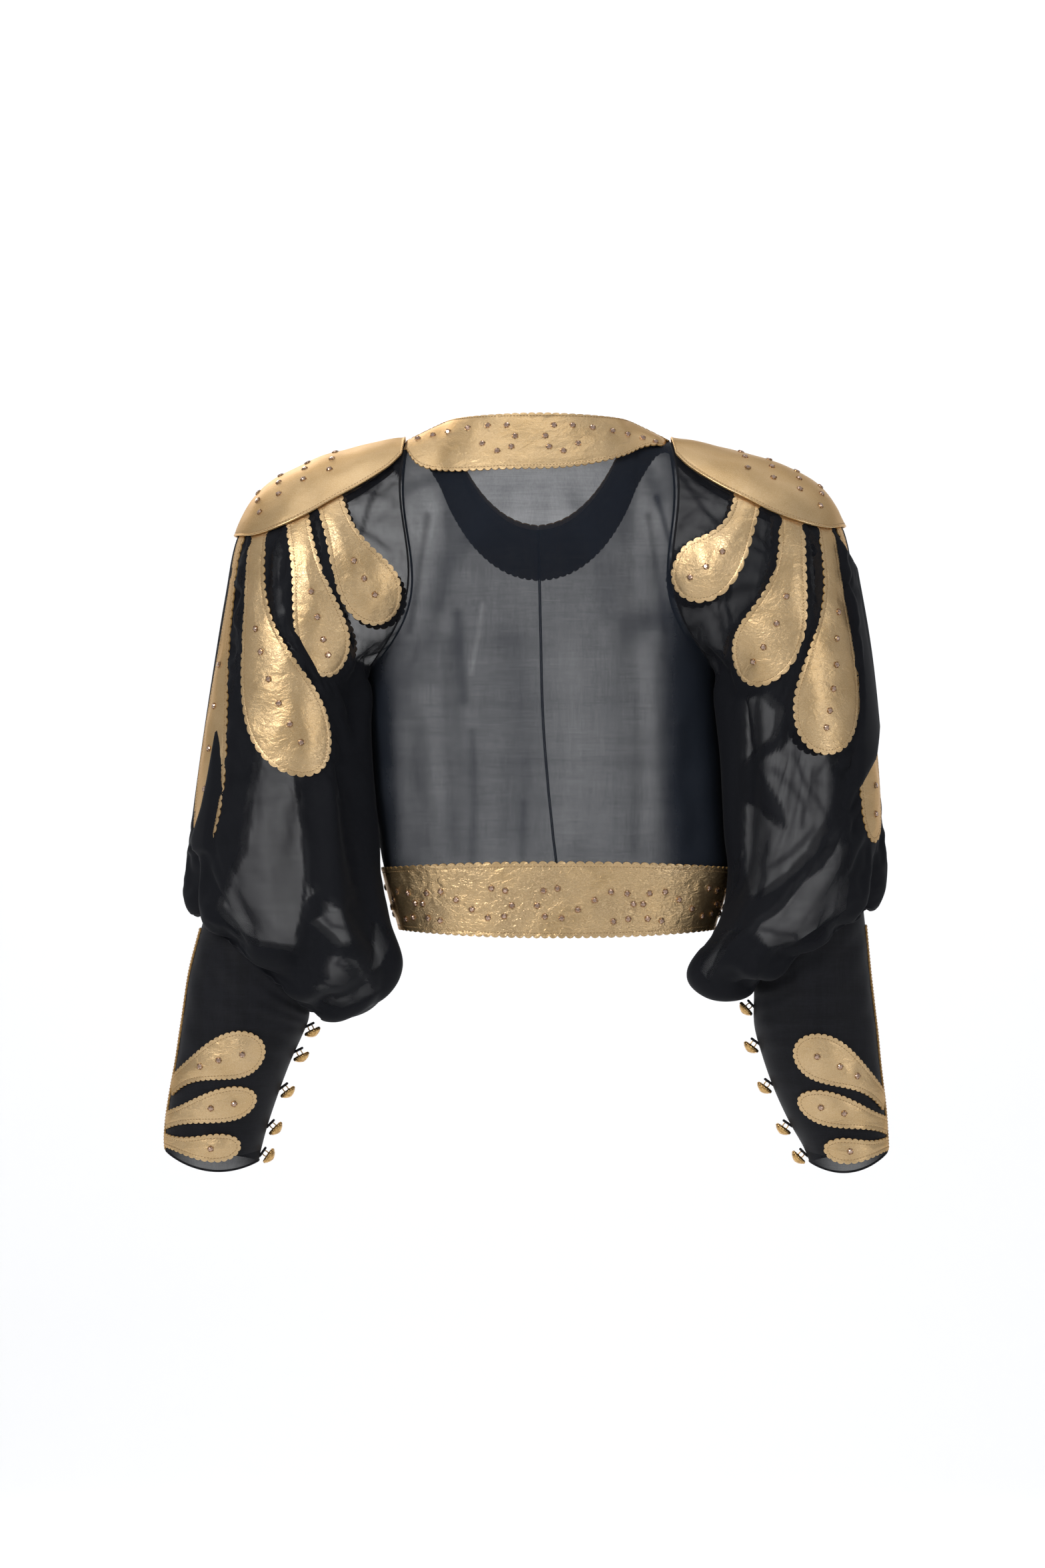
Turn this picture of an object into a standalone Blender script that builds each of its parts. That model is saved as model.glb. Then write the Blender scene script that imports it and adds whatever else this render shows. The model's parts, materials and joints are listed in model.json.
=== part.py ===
"""Cropped evening jacket: sheer black cloth with metallic leather trims, filled out as when it is worn.

Frame: +Z up, the wearer faces -Y, and the wearer's left arm is at +X. The origin is the centre of the
neck opening at the level of the shoulders, where the wearer holds the jacket up. Tables are in
millimetres and turned into metres when a mesh is made.

The cloth is one surface: the body rows run from the hem to the neck, and the sleeve rings leave it at
the armholes. Every panel is cut out of that surface, so neighbours meet at a seam. The leather pieces
are laid on the cloth and moved out until they clear it.
"""

import itertools
import math

import bpy
import numpy as np
from mathutils import Vector
from mathutils.bvhtree import BVHTree

MM = 0.001

# Walls, and the gaps between pieces
CLOTH = 1.2
LEATHER = 1.3
PLATE = 2.4
BELT = 2.0
SEAM_HALF_GAP = 0.18
CLEAR = 0.4
PLATE_CLEAR = 2.3

# How finely the cloth is cut into faces
ARMHOLE_STEPS = 18
ROUND_STEPS = 2 * ARMHOLE_STEPS
BACK_COLUMNS = 16
FRONT_COLUMNS = 8
SLEEVE_STEPS = 15
FOREARM_STEPS = 7
FOREARM_ROUND = 22
COLLAR_STEPS = 3
BELT_STEPS = 3

# Neck opening and shoulder seam: how far behind or before the origin, and how high
NECK_HALF_WIDTH = 76
NECK_BACK = (52, 20)
NECK_FRONT = (-80, -70)
NECK_SIDE_Z = 17
NECK_ANGLE = math.radians(45)
FRONT_GAP = 4

# Middle of the back and of the front: height, distance behind or before the origin
BACK_PROFILE = ((-205, 98), (-150, 100), (-100, 96), (-60, 88), (-20, 74), (0, 63), (20, 52))
FRONT_PROFILE = ((-205, 116), (-150, 109), (-100, 96), (-70, 84))

# Body below the armholes: height, sideways shift, half width, back, front
BODY_ROWS = (
    (-205, -3, 153, 98, 116),
    (-250, -5, 153, 97, 118),
    (-300, -9, 152, 94, 113),
    (-340, -13, 150, 92, 107),
    (-366, -16, 148, 88, 101),
    (-390, -16, 141, 86, 98),
    (-425, -16, 132, 85, 95),
)
CLOTH_HEIGHTS = (-411, -389, -366, -340, -300, -250, -205)
SIDE_ROUNDNESS = 0.86

# Upper sleeve, from the armhole to the elbow seam. Each ring has an outer and an inner point, a middle
# and a depth to the back and to the front
RING_COLUMNS = ("top_x", "top_z", "low_x", "low_z", "mid_y", "back", "front")
SLEEVE_ROWS = {
    "left": (
        (112, 0, 150, -205, 0, 82, 84),
        (152, -8, 154, -214, 1, 94, 90),
        (196, -22, 157, -228, 3, 99, 94),
        (234, -45, 157, -248, 5, 99, 94),
        (256, -82, 153, -275, 7, 97, 92),
        (266, -132, 148, -305, 10, 94, 90),
        (276, -192, 143, -335, 12, 92, 88),
        (286, -256, 139, -366, 14, 91, 86),
        (295, -322, 130, -402, 17, 91, 84),
        (299, -366, 118, -442, 20, 86, 80),
        (297, -388, 138, -476, 19, 76, 71),
        (291, -400, 166, -488, 17, 62, 59),
        (287, -405, 195, -488, 14, 51, 50),
    ),
    "right": (
        (112, 0, 156, -205, 0, 82, 84),
        (152, -8, 160, -214, 1, 94, 90),
        (196, -20, 165, -228, 3, 99, 94),
        (236, -40, 166, -248, 5, 99, 94),
        (259, -74, 167, -275, 7, 97, 92),
        (269, -122, 168, -305, 10, 93, 90),
        (279, -180, 169, -335, 12, 89, 86),
        (286, -240, 171, -366, 14, 87, 84),
        (291, -302, 160, -408, 17, 87, 82),
        (293, -346, 131, -446, 20, 84, 78),
        (290, -374, 141, -468, 19, 74, 69),
        (285, -392, 165, -470, 17, 62, 58),
        (280, -400, 184, -462, 14, 51, 49),
    ),
}

# The armhole is scooped in towards the back and the front, most of all low down
SCOOP = 21
LOW_SCOOP = 27
SCOOP_RINGS = 2.6

# Behind the arm the full sleeve laps over the side of the body, between these rings
LAP = 13
LAP_RINGS = (2.2, 4.2, 8.2, 9.9)
LAP_AT = math.radians(150)
LAP_WIDTH = math.radians(24)

# Fitted lower sleeve, from inside the elbow seam to the wrist
FOREARM_ROWS = {
    "left": (
        (283, -398, 195.5, -481, 14, 49, 48),
        (290.5, -424, 196.5, -494, 13, 47.5, 46.5),
        (299, -458, 202, -508, 11, 47, 46),
        (305, -498, 212, -530, 8, 45, 44),
        (311, -535, 222, -556, 4, 43, 42),
        (317, -568, 231, -582, -1, 40, 39),
        (320, -592, 237, -603, -5, 39, 38),
        (320, -607, 240, -616, -8, 39, 38),
    ),
    "right": (
        (277.5, -393, 185, -455, 14, 49, 47),
        (280.5, -422, 184.5, -476, 13, 47.5, 46),
        (284, -458, 185, -500, 11, 47, 45),
        (289, -498, 192, -526, 8, 45, 43),
        (293, -535, 202, -554, 4, 43, 41),
        (297, -568, 215, -582, -1, 40, 39),
        (299, -592, 227, -603, -5, 38, 37),
        (300, -608, 233, -617, -8, 38, 37),
    ),
}
CUFF_DIP = 11
LIMBS = {"sleeve": SLEEVE_ROWS, "forearm": FOREARM_ROWS}

# Gathers of the upper sleeve: how many, how deep below the shoulder and above the elbow seam
GATHERS = 9
SHOULDER_GATHER = 3.6
ELBOW_GATHER = 4.6

# Main folds of the upper sleeve: start and end (ring number, degrees from the outer line, + to the
# back), depth inwards and width
SLEEVE_FOLDS = {
    "left": (
        (3.0, 118, 8.6, 142, 7, 12),
        (5.2, 96, 9.6, 104, 6, 13),
        (8.2, 128, 10.4, 168, 6, 10),
        (9.3, 70, 10.6, 132, 5, 10),
        (5.0, 28, 9.6, 22, 5, 12),
        (3.0, -112, 8.6, -138, 6, 13),
        (5.0, -62, 10.2, -118, 6, 13),
        (9.0, -40, 10.6, -96, 5, 10),
    ),
    "right": (
        (3.0, 120, 7.4, 146, 7, 12),
        (6.2, 34, 9.8, 128, 6, 11),
        (5.6, 98, 8.2, 70, 4, 10),
        (9.8, 70, 10.8, 140, 5, 10),
        (7.0, 84, 8.6, 104, 4, 10),
        (3.0, -112, 8.6, -138, 6, 13),
        (5.4, -40, 10.0, -124, 6, 12),
        (9.2, -50, 10.6, -110, 5, 10),
    ),
}

# Soft folds of the body panels: upper x and z, lower x and z, depth inwards and width
BODY_FOLDS = {
    "back": (
        (96, -34, 98, -150, 4, 10),
        (-96, -34, -100, -150, 4, 10),
        (50, -105, 62, -300, 2.5, 14),
        (-4, -130, -20, -330, 2, 16),
        (-78, -120, -96, -350, 3, 14),
        (112, -250, 104, -350, 4, 13),
        (-128, -250, -136, -350, 4, 12),
    ),
    "front": (
        (92, -60, 98, -160, 4, 11),
        (-92, -60, -98, -160, 4, 11),
        (60, -210, 66, -350, 3, 15),
        (-74, -210, -86, -350, 3, 15),
        (110, -240, 104, -350, 4, 13),
        (-120, -240, -130, -350, 4, 13),
    ),
}

# Collar: share of the way from the neck to the underarm that it covers, at the middle and the side. At
# the back it keeps its full width further out on the wearer's left, by this power
COLLAR_COVER = {"back": (0.30, 0.125), "front": (0.39, 0.125)}
COLLAR_FULL = 3.6
COLLAR_FLARE = 2.2

# Shoulder plate: ring number and half angle in degrees from the ridge line
PLATE_ROWS = (
    (0.07, 31),
    (0.4, 40),
    (0.9, 47),
    (1.5, 51),
    (2.1, 53),
    (2.7, 51),
    (3.2, 45),
    (3.6, 35),
    (3.85, 22),
    (3.97, 10),
)
PLATE_ACROSS = 6

# Belt: height of its edges at the side, and how much they rise and dip towards the middle
BELT_TOP = -366
BELT_LOW = -415
BELT_RISE = 6
BELT_DIP = 6

# Petals under the shoulder plate, as seen from behind: root, a point that pulls the middle line
# aside, and tip (x and z, + to the outer side), then the root's width and the greatest width
HANGING_PETALS = {
    "left": (
        ("1", 180, -42, 163, -106, 125, -151, 20, 50),
        ("2", 206, -57, 191, -140, 174, -200, 18, 42),
        ("3", 234, -68, 256, -190, 184, -280, 20, 66),
    ),
    "right": (
        ("1", 178, -42, 172, -101, 116, -125, 20, 50),
        ("2", 212, -56, 222, -148, 172, -202, 20, 52),
        ("3", 240, -64, 262, -164, 237, -266, 20, 64),
    ),
}

# Petals on the outer line, and on the lower sleeve. Each runs from a root to a tip (ring number,
# degrees from the outer line), then the root's width and the greatest width
RING_PETALS = {
    "sleeve": {
        "left": (("4", 3.75, 19, 8.4, 33, 14, 50),),
        "right": (("4", 3.75, 19, 8.7, 29, 14, 50),),
    },
    "forearm": {
        "left": (
            ("1", 4.5, 15, 2.85, 120, 14, 38),
            ("2", 5.5, 14, 4.3, 128, 12, 28),
            ("3", 6.3, 12, 5.8, 122, 9, 22),
        ),
        "right": (
            ("1", 4.9, 16, 2.95, 116, 14, 38),
            ("2", 5.7, 14, 4.4, 130, 12, 28),
            ("3", 6.45, 12, 5.9, 118, 9, 20),
        ),
    },
}
PETAL_STATIONS = (0, 0.2, 0.4, 0.57, 0.72, 0.84, 0.93, 0.98, 1)
PETAL_ACROSS = 3
WIDEST_AT = 0.77
STRIP = (0.75, 6.8, 12)
STRIP_STEPS = 7

# Buttons down the inner seam of the lower sleeve: ring numbers, then the shape as distance along the
# stem and radius
BUTTONS = {"left": (1.3, 5), "right": (1.2, 5)}
LAST_BUTTON = 6.3
BUTTON_PROFILE = ((0, 1.5), (5.6, 1.5), (6.4, 5.6), (7.0, 7.2), (8.2, 7.2), (8.9, 5.8), (11.4, 1.2))
BUTTON_SIDES = 10
BUTTON_TILT = (44, 22)

SIDES = ("left", "right")
FACES = {"back": 1, "front": -1}
BLACK = (0.012, 0.012, 0.015)
GOLD = (0.60, 0.43, 0.22)

# Points this near, in fiftieths of a millimetre, are one point
NUDGES = np.array(list(itertools.product((0, 0.4, -0.4), repeat=3)))
# Places in a triangle where a piece is held off what lies under it
SAMPLES = np.array([(i, j, 6 - i - j) for i in range(7) for j in range(7 - i)]) / 6


def finish(name, colour, roughness, metallic):
    """A plain finish for one kind of material."""
    material = bpy.data.materials.new(name)
    material.use_nodes = True
    shader = material.node_tree.nodes["Principled BSDF"]
    shader.inputs["Base Color"].default_value = (*colour, 1.0)
    shader.inputs["Roughness"].default_value = roughness
    shader.inputs["Metallic"].default_value = metallic
    return material


def read_rows(rows, at):
    """Reads a table of numbers at row number `at`, smoothly between its rows."""
    rows = np.asarray(rows, float)
    last = len(rows) - 1
    at = np.clip(np.asarray(at, float), 0, last)
    low = np.minimum(at.astype(int), last - 1)
    share = (at - low)[..., None]
    before, here = rows[np.maximum(low - 1, 0)], rows[low]
    after, beyond = rows[low + 1], rows[np.minimum(low + 2, last)]
    return here + 0.5 * share * (
        (after - before)
        + share * (2 * before - 5 * here + 4 * after - beyond)
        + share**2 * (3 * (here - after) + beyond - before)
    )


def step(low, high, value):
    """Rises smoothly from 0 at low to 1 at high."""
    share = np.clip((value - low) / (high - low), 0, 1)
    return share * share * (3 - 2 * share)


def unit(vectors):
    length = np.linalg.norm(vectors, axis=-1, keepdims=True)
    return vectors / np.maximum(length, 1e-9)


def mirrored(points, side):
    """Sleeves are worked out on the wearer's left; the right one is turned over."""
    return points * np.array([1, 1, 1] if side == "left" else [-1, 1, 1], float)


def limb_point(limb, side, ring, angle):
    """A point on a sleeve without its folds. The angle runs from the outer line, + to the back."""
    rows = LIMBS[limb][side]
    ring, angle = np.broadcast_arrays(np.asarray(ring, float), np.asarray(angle, float))
    top_x, top_z, low_x, low_z, mid_y, back, front = np.moveaxis(read_rows(rows, ring), -1, 0)
    across, depth = np.cos(angle), np.sin(angle)
    x = (top_x + low_x) / 2 + (top_x - low_x) / 2 * across
    y = mid_y + np.where(depth > 0, back, front) * depth
    z = (top_z + low_z) / 2 + (top_z - low_z) / 2 * across
    if limb == "sleeve":
        x = x - (SCOOP - LOW_SCOOP * across) * np.abs(depth) ** 3 * (1 - step(0, SCOOP_RINGS, ring))
        aside = (angle - LAP_AT + math.pi) % (2 * math.pi) - math.pi
        lapped = step(LAP_RINGS[0], LAP_RINGS[1], ring) * (1 - step(LAP_RINGS[2], LAP_RINGS[3], ring))
        x = x - LAP * lapped * np.exp(-((aside / LAP_WIDTH) ** 2))
    else:
        last = len(rows) - 1
        z = z - CUFF_DIP * np.maximum(depth, 0) ** 2 * step(last - 2.5, last, ring)
    return np.stack([x, y, z], axis=-1)


def limb_slopes(limb, side, ring, angle):
    """How the point moves with the ring number and with the angle."""
    nudge = 0.02
    last = len(LIMBS[limb][side]) - 1
    ring = np.clip(ring, nudge, last - nudge)
    along = limb_point(limb, side, ring + nudge, angle) - limb_point(limb, side, ring - nudge, angle)
    around = limb_point(limb, side, ring, angle + nudge) - limb_point(limb, side, ring, angle - nudge)
    return along / (2 * nudge), around / (2 * nudge)


def limb_normal(limb, side, ring, angle):
    along, around = limb_slopes(limb, side, ring, angle)
    return unit(np.cross(along, around))


def find_on_sleeve(side, x, z, facing):
    """The ring number and the angle that show at a place as seen from behind or from before."""
    ring_low, ring_high, angle_low, angle_high = 0.0, 12.0, 0.0, math.pi
    for _ in range(3):
        ring, angle = np.meshgrid(
            np.linspace(ring_low, ring_high, 61),
            np.linspace(angle_low, angle_high, 61),
        )
        place = limb_point("sleeve", side, ring, angle * facing)
        best = np.argmin((place[..., 0] - x) ** 2 + (place[..., 2] - z) ** 2)
        ring_span, angle_span = (ring_high - ring_low) / 30, (angle_high - angle_low) / 30
        ring, angle = ring.flat[best], angle.flat[best]
        ring_low, ring_high = max(ring - ring_span, 0), min(ring + ring_span, 12)
        angle_low, angle_high = max(angle - angle_span, 0), min(angle + angle_span, math.pi)
    return ring, angle * facing


def walk(limb, side, ring, angle, heading, distance):
    """Goes a distance over a sleeve in a heading, and returns the ring numbers and angles there."""
    steps = 5
    for _ in range(steps):
        along, around = limb_slopes(limb, side, ring, angle)
        normal = unit(np.cross(along, around))
        flat = unit(heading - (heading * normal).sum(-1, keepdims=True) * normal)
        flat = flat * np.asarray(distance)[..., None] / steps
        aa, ab, bb = (along * along).sum(-1), (along * around).sum(-1), (around * around).sum(-1)
        fa, fb = (flat * along).sum(-1), (flat * around).sum(-1)
        det = aa * bb - ab * ab
        ring = ring + (fa * bb - fb * ab) / det
        angle = angle + (fb * aa - fa * ab) / det
    return ring, angle


def petal_half_width(share, root, widest):
    """Half width of a petal at a share of its length: a slim root that swells to a round end."""
    swell = root + (widest - root) * step(0.1, WIDEST_AT, share) ** 1.5
    past = np.clip((share - WIDEST_AT) / (1 - WIDEST_AT), 0, 1)
    return swell / 2 * np.sqrt(np.maximum(1 - past**2, 0.03))


def petals_of(limb, side):
    """Name, middle line (ring numbers and angles at the stations), root width and greatest width of
    each petal, for the back and again for the hidden front."""
    stations = np.array(PETAL_STATIONS)
    found = []
    for face, facing in FACES.items():
        if limb == "sleeve":
            for name, x_1, z_1, pull_x, pull_z, x_2, z_2, root, widest in HANGING_PETALS[side]:
                before, middle, after = (1 - stations) ** 2, 2 * stations * (1 - stations), stations**2
                xs = x_1 * before + pull_x * middle + x_2 * after
                zs = z_1 * before + pull_z * middle + z_2 * after
                line = np.array([find_on_sleeve(side, x, z, facing) for x, z in zip(xs, zs)])
                found.append((f"{face}_{name}", line[:, 0], line[:, 1], root, widest))
        for name, ring_1, angle_1, ring_2, angle_2, root, widest in RING_PETALS[limb][side]:
            ring = ring_1 + (ring_2 - ring_1) * stations
            angle = np.radians(angle_1 + (angle_2 - angle_1) * stations) * facing
            found.append((f"{face}_{name}", ring, angle, root, widest))
    return found


def near_line(points, line, width):
    """1 on a line of points, falling smoothly to 0 past its width."""
    gap = np.linalg.norm(points[..., None, :] - line, axis=-1)
    return np.exp(-((gap / width) ** 2)).max(axis=-1)


def under_petals(side, points, petals):
    """1 where a petal lies on the sleeve, where the gathers are pressed flat."""
    cover = np.zeros(points.shape[:-1])
    shares = np.linspace(0, 1, 25)
    for _, ring, angle, root, widest in petals:
        rings = np.interp(shares, PETAL_STATIONS, ring)
        angles = np.interp(shares, PETAL_STATIONS, angle)
        line = limb_point("sleeve", side, rings, angles)
        gap = np.linalg.norm(points[..., None, :] - line, axis=-1) - petal_half_width(shares, root, widest)
        cover = np.maximum(cover, 1 - step(0, 9, gap.min(axis=-1)))
    return cover


def sleeve_grid(side, rings, angles):
    """Points of the upper sleeve with its gathers and folds, on the wearer's left."""
    ring, angle = np.meshgrid(rings, angles, indexing="ij")
    last = len(SLEEVE_ROWS[side]) - 1
    base = limb_point("sleeve", side, ring, angle)
    plate_rings, plate_angles = np.array(PLATE_ROWS, float).T
    covered = np.radians(np.interp(ring, plate_rings, plate_angles, right=0))
    shoulder = step(0.5, 2.4, ring) * (1 - step(5.5, 9, ring)) * SHOULDER_GATHER
    elbow = step(8.4, 10.4, ring) * (1 - step(10.8, last - 0.1, ring)) * ELBOW_GATHER
    free = step(0, math.radians(16), np.abs(angle) - covered)
    pressed = step(2.3, 2.8, np.abs(angle)) * (1 - step(9, 10, ring))
    open_cloth = 1 - under_petals(side, base, petals_of("sleeve", side))
    waves = np.cos(GATHERS * angle + 0.22 * np.sin(0.9 * ring + 2 * angle))
    waves = waves * (1 + 0.35 * np.sin(3 * angle + 1)) * (1 - 0.85 * pressed)
    height = waves * (shoulder * free * open_cloth + elbow)
    share = np.linspace(0, 1, 15)
    for ring_1, angle_1, ring_2, angle_2, depth, width in SLEEVE_FOLDS[side]:
        line = limb_point(
            "sleeve",
            side,
            ring_1 + (ring_2 - ring_1) * share,
            np.radians(angle_1 + (angle_2 - angle_1) * share),
        )
        height = height - depth * near_line(base, line, width) * open_cloth
    fade = step(0, 0.8, ring) * (1 - step(last - 0.6, last, ring))
    return base + limb_normal("sleeve", side, ring, angle) * (height * fade)[..., None]


def body_row(left, right, middle_y, middle_z, columns, roundness):
    """One row of the body from the right edge to the left one, bulging through the middle."""
    reach = np.clip(abs(left[1] / middle_y), 0, 1)
    turn = math.acos(reach ** (1 / roundness))
    sine = np.abs(np.sin(columns))
    across = np.sign(columns) * sine**roundness
    swing = np.arcsin(sine * math.sin(turn))
    row = right + (left - right) * (1 + across)[:, None] / 2
    row[:, 1] = middle_y * np.cos(swing) ** roundness
    row[:, 2] += (middle_z - row[:, 2]) * np.cos(columns) ** 2
    return row


def lower_body_point(face, z, columns):
    """Points of the body below the armholes. The heights may differ from column to column."""
    rows = np.array(BODY_ROWS, float)
    at = np.interp(-z, -rows[:, 0], np.arange(len(rows)))
    _, shift, half, back, front = np.moveaxis(read_rows(rows, at), -1, 0)
    deep = back if face == "back" else -front
    across = np.sign(columns) * np.abs(np.sin(columns)) ** SIDE_ROUNDNESS
    x = shift + half * across
    y = deep * np.abs(np.cos(columns)) ** SIDE_ROUNDNESS
    y = np.where(np.abs(columns) > 1.5707, 0, y)
    return np.stack([x, y, np.broadcast_to(z, x.shape)], axis=-1)


def neck_row(columns, face):
    """The top edge: along the shoulder seam to the neck, and round the neck."""
    depth, height = NECK_FRONT if face == "front" else NECK_BACK
    turn = np.clip(columns / NECK_ANGLE, -1, 1) * math.pi / 2
    seam = np.clip((np.abs(columns) - NECK_ANGLE) / (math.pi / 2 - NECK_ANGLE), 0, 1)
    tip = limb_point("sleeve", "left", 0, 0)
    x = np.sign(columns) * (np.abs(np.sin(turn)) * NECK_HALF_WIDTH + seam * (tip[0] - NECK_HALF_WIDTH))
    y = depth * np.cos(turn) * (seam == 0)
    drop = np.cos(turn) ** (1.4 if face == "front" else 2)
    z = NECK_SIDE_Z + (height - NECK_SIDE_Z) * drop + seam * (tip[2] - NECK_SIDE_Z)
    return np.stack([x, y, z], axis=-1)


def upper_rows(face, columns, shares):
    """Rows of the body between the underarm, share 0, and the neck, share 1."""
    facing = FACES[face]
    neck_z = NECK_BACK[1] if face == "back" else NECK_FRONT[1]
    heights, depths = np.array(BACK_PROFILE if face == "back" else FRONT_PROFILE, float).T
    low_z = BODY_ROWS[0][0]
    top_z = limb_point("sleeve", "left", 0, 0)[2]

    def row(share):
        turn = facing * math.pi * (1 - share)
        left = limb_point("sleeve", "left", 0, turn)
        right = mirrored(limb_point("sleeve", "right", 0, turn), "right")
        middle_z = low_z + (neck_z - low_z) * (left[2] - low_z) / (top_z - low_z)
        middle_y = facing * np.interp(middle_z, heights, depths)
        roundness = SIDE_ROUNDNESS + (1 - SIDE_ROUNDNESS) * share
        return body_row(left, right, middle_y, middle_z, columns, roundness)

    correction = neck_row(columns, face) - row(1.0)
    return np.array([row(share) + correction * share**3 for share in shares])


def front_edge(grid, name):
    """Leaves a gap down the middle of the front."""
    grid = grid.copy()
    if name == "front_left":
        grid[:, 0, 0] += FRONT_GAP
    if name == "front_right":
        grid[:, -1, 0] -= FRONT_GAP
    return grid


def body_columns():
    """The columns of the back and of each front, in angle from the middle, towards +X."""
    right_angle = math.pi / 2
    half = np.linspace(0, right_angle, FRONT_COLUMNS + 1)
    return (
        ("back_panel", "back", np.linspace(-right_angle, right_angle, BACK_COLUMNS + 1)),
        ("front_left", "front", half),
        ("front_right", "front", -half[::-1]),
    )


def press_folds(grid, face, columns):
    """Sinks soft folds into a body grid. They fade at the seams, the hem and the neck."""
    down, across = np.gradient(grid, axis=0), np.gradient(grid, axis=1)
    normals = unit(np.cross(across, down))
    normals = normals * (np.sign(normals[..., 1:2]) * FACES[face])
    share = np.linspace(0, 1, 12)[:, None]
    height = np.zeros(grid.shape[:2])
    flat = grid[..., [0, 2]]
    for x_1, z_1, x_2, z_2, depth, width in BODY_FOLDS[face]:
        line = np.array([x_1, z_1]) + (np.array([x_2, z_2]) - np.array([x_1, z_1])) * share
        height -= depth * near_line(flat, line, width)
    rows = np.arange(grid.shape[0])
    fade = 1 - (np.abs(columns) / (math.pi / 2)) ** 8
    height *= fade * (step(0, 3.5, rows) * step(0, 3, rows[::-1]))[:, None]
    return grid + normals * height[..., None]


def triangles(points, face):
    """Cuts a face of four corners along its shorter diagonal."""
    if len(face) == 3:
        return [face]
    a, b, c, d = face
    if np.linalg.norm(points[a] - points[c]) <= np.linalg.norm(points[b] - points[d]):
        return [[a, b, c], [a, c, d]]
    return [[a, b, d], [b, c, d]]


class Surface:
    """Panels that share the points of their seams. Points that coincide are one point."""

    def __init__(self):
        self.points = []
        self.found = {}
        self.faces = {}

    def point(self, place):
        fine = np.array(place, float) * 50
        for nudge in NUDGES:
            key = tuple(np.rint(fine + nudge).astype(int))
            if key in self.found:
                return self.found[key]
        self.found[tuple(np.rint(fine).astype(int))] = len(self.points)
        self.points.append(np.array(place, float))
        return len(self.points) - 1

    def add_grid(self, panel, grid, turned=False, closed=False):
        """Adds the triangles of a grid, turned over if asked. A closed one joins its last column."""
        index = [[self.point(place) for place in row] for row in grid]
        columns = len(index[0])
        faces = self.faces.setdefault(panel, [])
        for above, below in zip(index, index[1:]):
            for i in range(columns if closed else columns - 1):
                j = (i + 1) % columns
                quad = [above[i], above[j], below[j], below[i]]
                face = [k for n, k in enumerate(quad) if quad[n - 1] != k]
                if len(set(face)) >= 3:
                    faces.extend(triangles(self.points, face[::-1] if turned else face))

    def directions(self):
        """For each panel, its outward direction at each point, and the way into the panel."""
        normals, inwards = {}, {}
        for panel, faces in self.faces.items():
            sums, into = {}, {}
            for face in faces:
                a, b, c = (self.points[k] for k in face)
                area = np.cross(b - a, c - a)
                middle = (a + b + c) / 3
                for k, before, after in ((face[0], c, b), (face[1], a, c), (face[2], b, a)):
                    here = self.points[k]
                    corner = math.acos(np.clip(unit(before - here) @ unit(after - here), -1, 1))
                    sums[k] = sums.get(k, 0) + unit(area) * corner
                    into[k] = into.get(k, 0) + unit(middle - here) * corner
            normals[panel] = {k: unit(v) for k, v in sums.items()}
            inwards[panel] = {k: unit(v) for k, v in into.items()}
        return normals, inwards

    def rim(self, panel):
        """Directed edges that only one face of the panel uses."""
        edges = {(a, b) for face in self.faces[panel] for a, b in zip(face, face[1:] + face[:1])}
        return sorted((a, b) for a, b in edges if (b, a) not in edges)

    def closed(self, panel, outer, inner):
        """One closed body from the outer and inner places of a panel's points."""
        order = {k: n for n, k in enumerate(outer)}
        count = len(order)
        points = np.array(list(outer.values()) + [inner[k] for k in outer])
        faces = [[order[k] for k in face] for face in self.faces[panel]]
        faces += [[order[k] + count for k in reversed(face)] for face in self.faces[panel]]
        for a, b in self.rim(panel):
            a, b = order[a], order[b]
            faces += triangles(points, [b, a, a + count, b + count])
        return points, faces

    def cloth_wall(self, panel, normals, inwards):
        """The wall of a cloth panel, under the surface. Neighbours that meet on a rounded seam share
        its direction, so that their walls don't cross."""
        own, into = normals[panel], inwards[panel]
        on_rim = {k for edge in self.rim(panel) for k in edge}
        outer, inner = {}, {}
        for k in own:
            normal, place = own[k], self.points[k]
            if k in on_rim:
                for other in normals:
                    if other == panel or k not in normals[other]:
                        continue
                    if normals[other][k] @ into[k] + own[k] @ inwards[other][k] <= 0.2:
                        normal = normal + normals[other][k]
                normal = unit(normal)
                place = place + unit(into[k] - (into[k] @ own[k]) * own[k]) * SEAM_HALF_GAP
            outer[k] = place
            inner[k] = place - normal * CLOTH
        return self.closed(panel, outer, inner)

    def laid_wall(self, panel, unders, thickness, flare=None):
        """The wall of a piece that lies on others: moved out until every face clears them. Each of
        `unders` is a tree of faces, the height where it has none, and the gap to leave."""
        normals, _ = self.directions()
        keys = list(normals[panel])
        order = {k: n for n, k in enumerate(keys)}
        base = np.array([self.points[k] for k in keys])
        outward = np.array([normals[panel][k] for k in keys])
        faces = np.array([[order[k] for k in face] for face in self.faces[panel]])
        raised = np.array([height_over(unders, place, way, 0) for place, way in zip(base, outward)])
        for _ in range(25):
            need = np.zeros(len(keys))
            for face in faces:
                corners = base[face] + outward[face] * raised[face][:, None]
                for weights in SAMPLES:
                    place, way = weights @ corners, unit(weights @ outward[face])
                    lack = height_over(unders, place, way, weights @ raised[face])
                    if lack > 0.01:
                        need[face] = np.maximum(need[face], min(lack, 3) * (weights > 0.2))
            if need.max() == 0:
                break
            raised += need
        raised = raised + (0 if flare is None else np.array([flare[k] for k in keys]))
        inner = {k: base[n] + outward[n] * raised[n] for n, k in enumerate(keys)}
        outer = {k: inner[k] + outward[n] * thickness for n, k in enumerate(keys)}
        return self.closed(panel, outer, inner)

    def tree(self, panels):
        """The outer faces of some panels, to be measured against."""
        faces = [face for panel in panels for face in self.faces[panel]]
        return BVHTree.FromPolygons([point.tolist() for point in self.points], faces)


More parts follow.
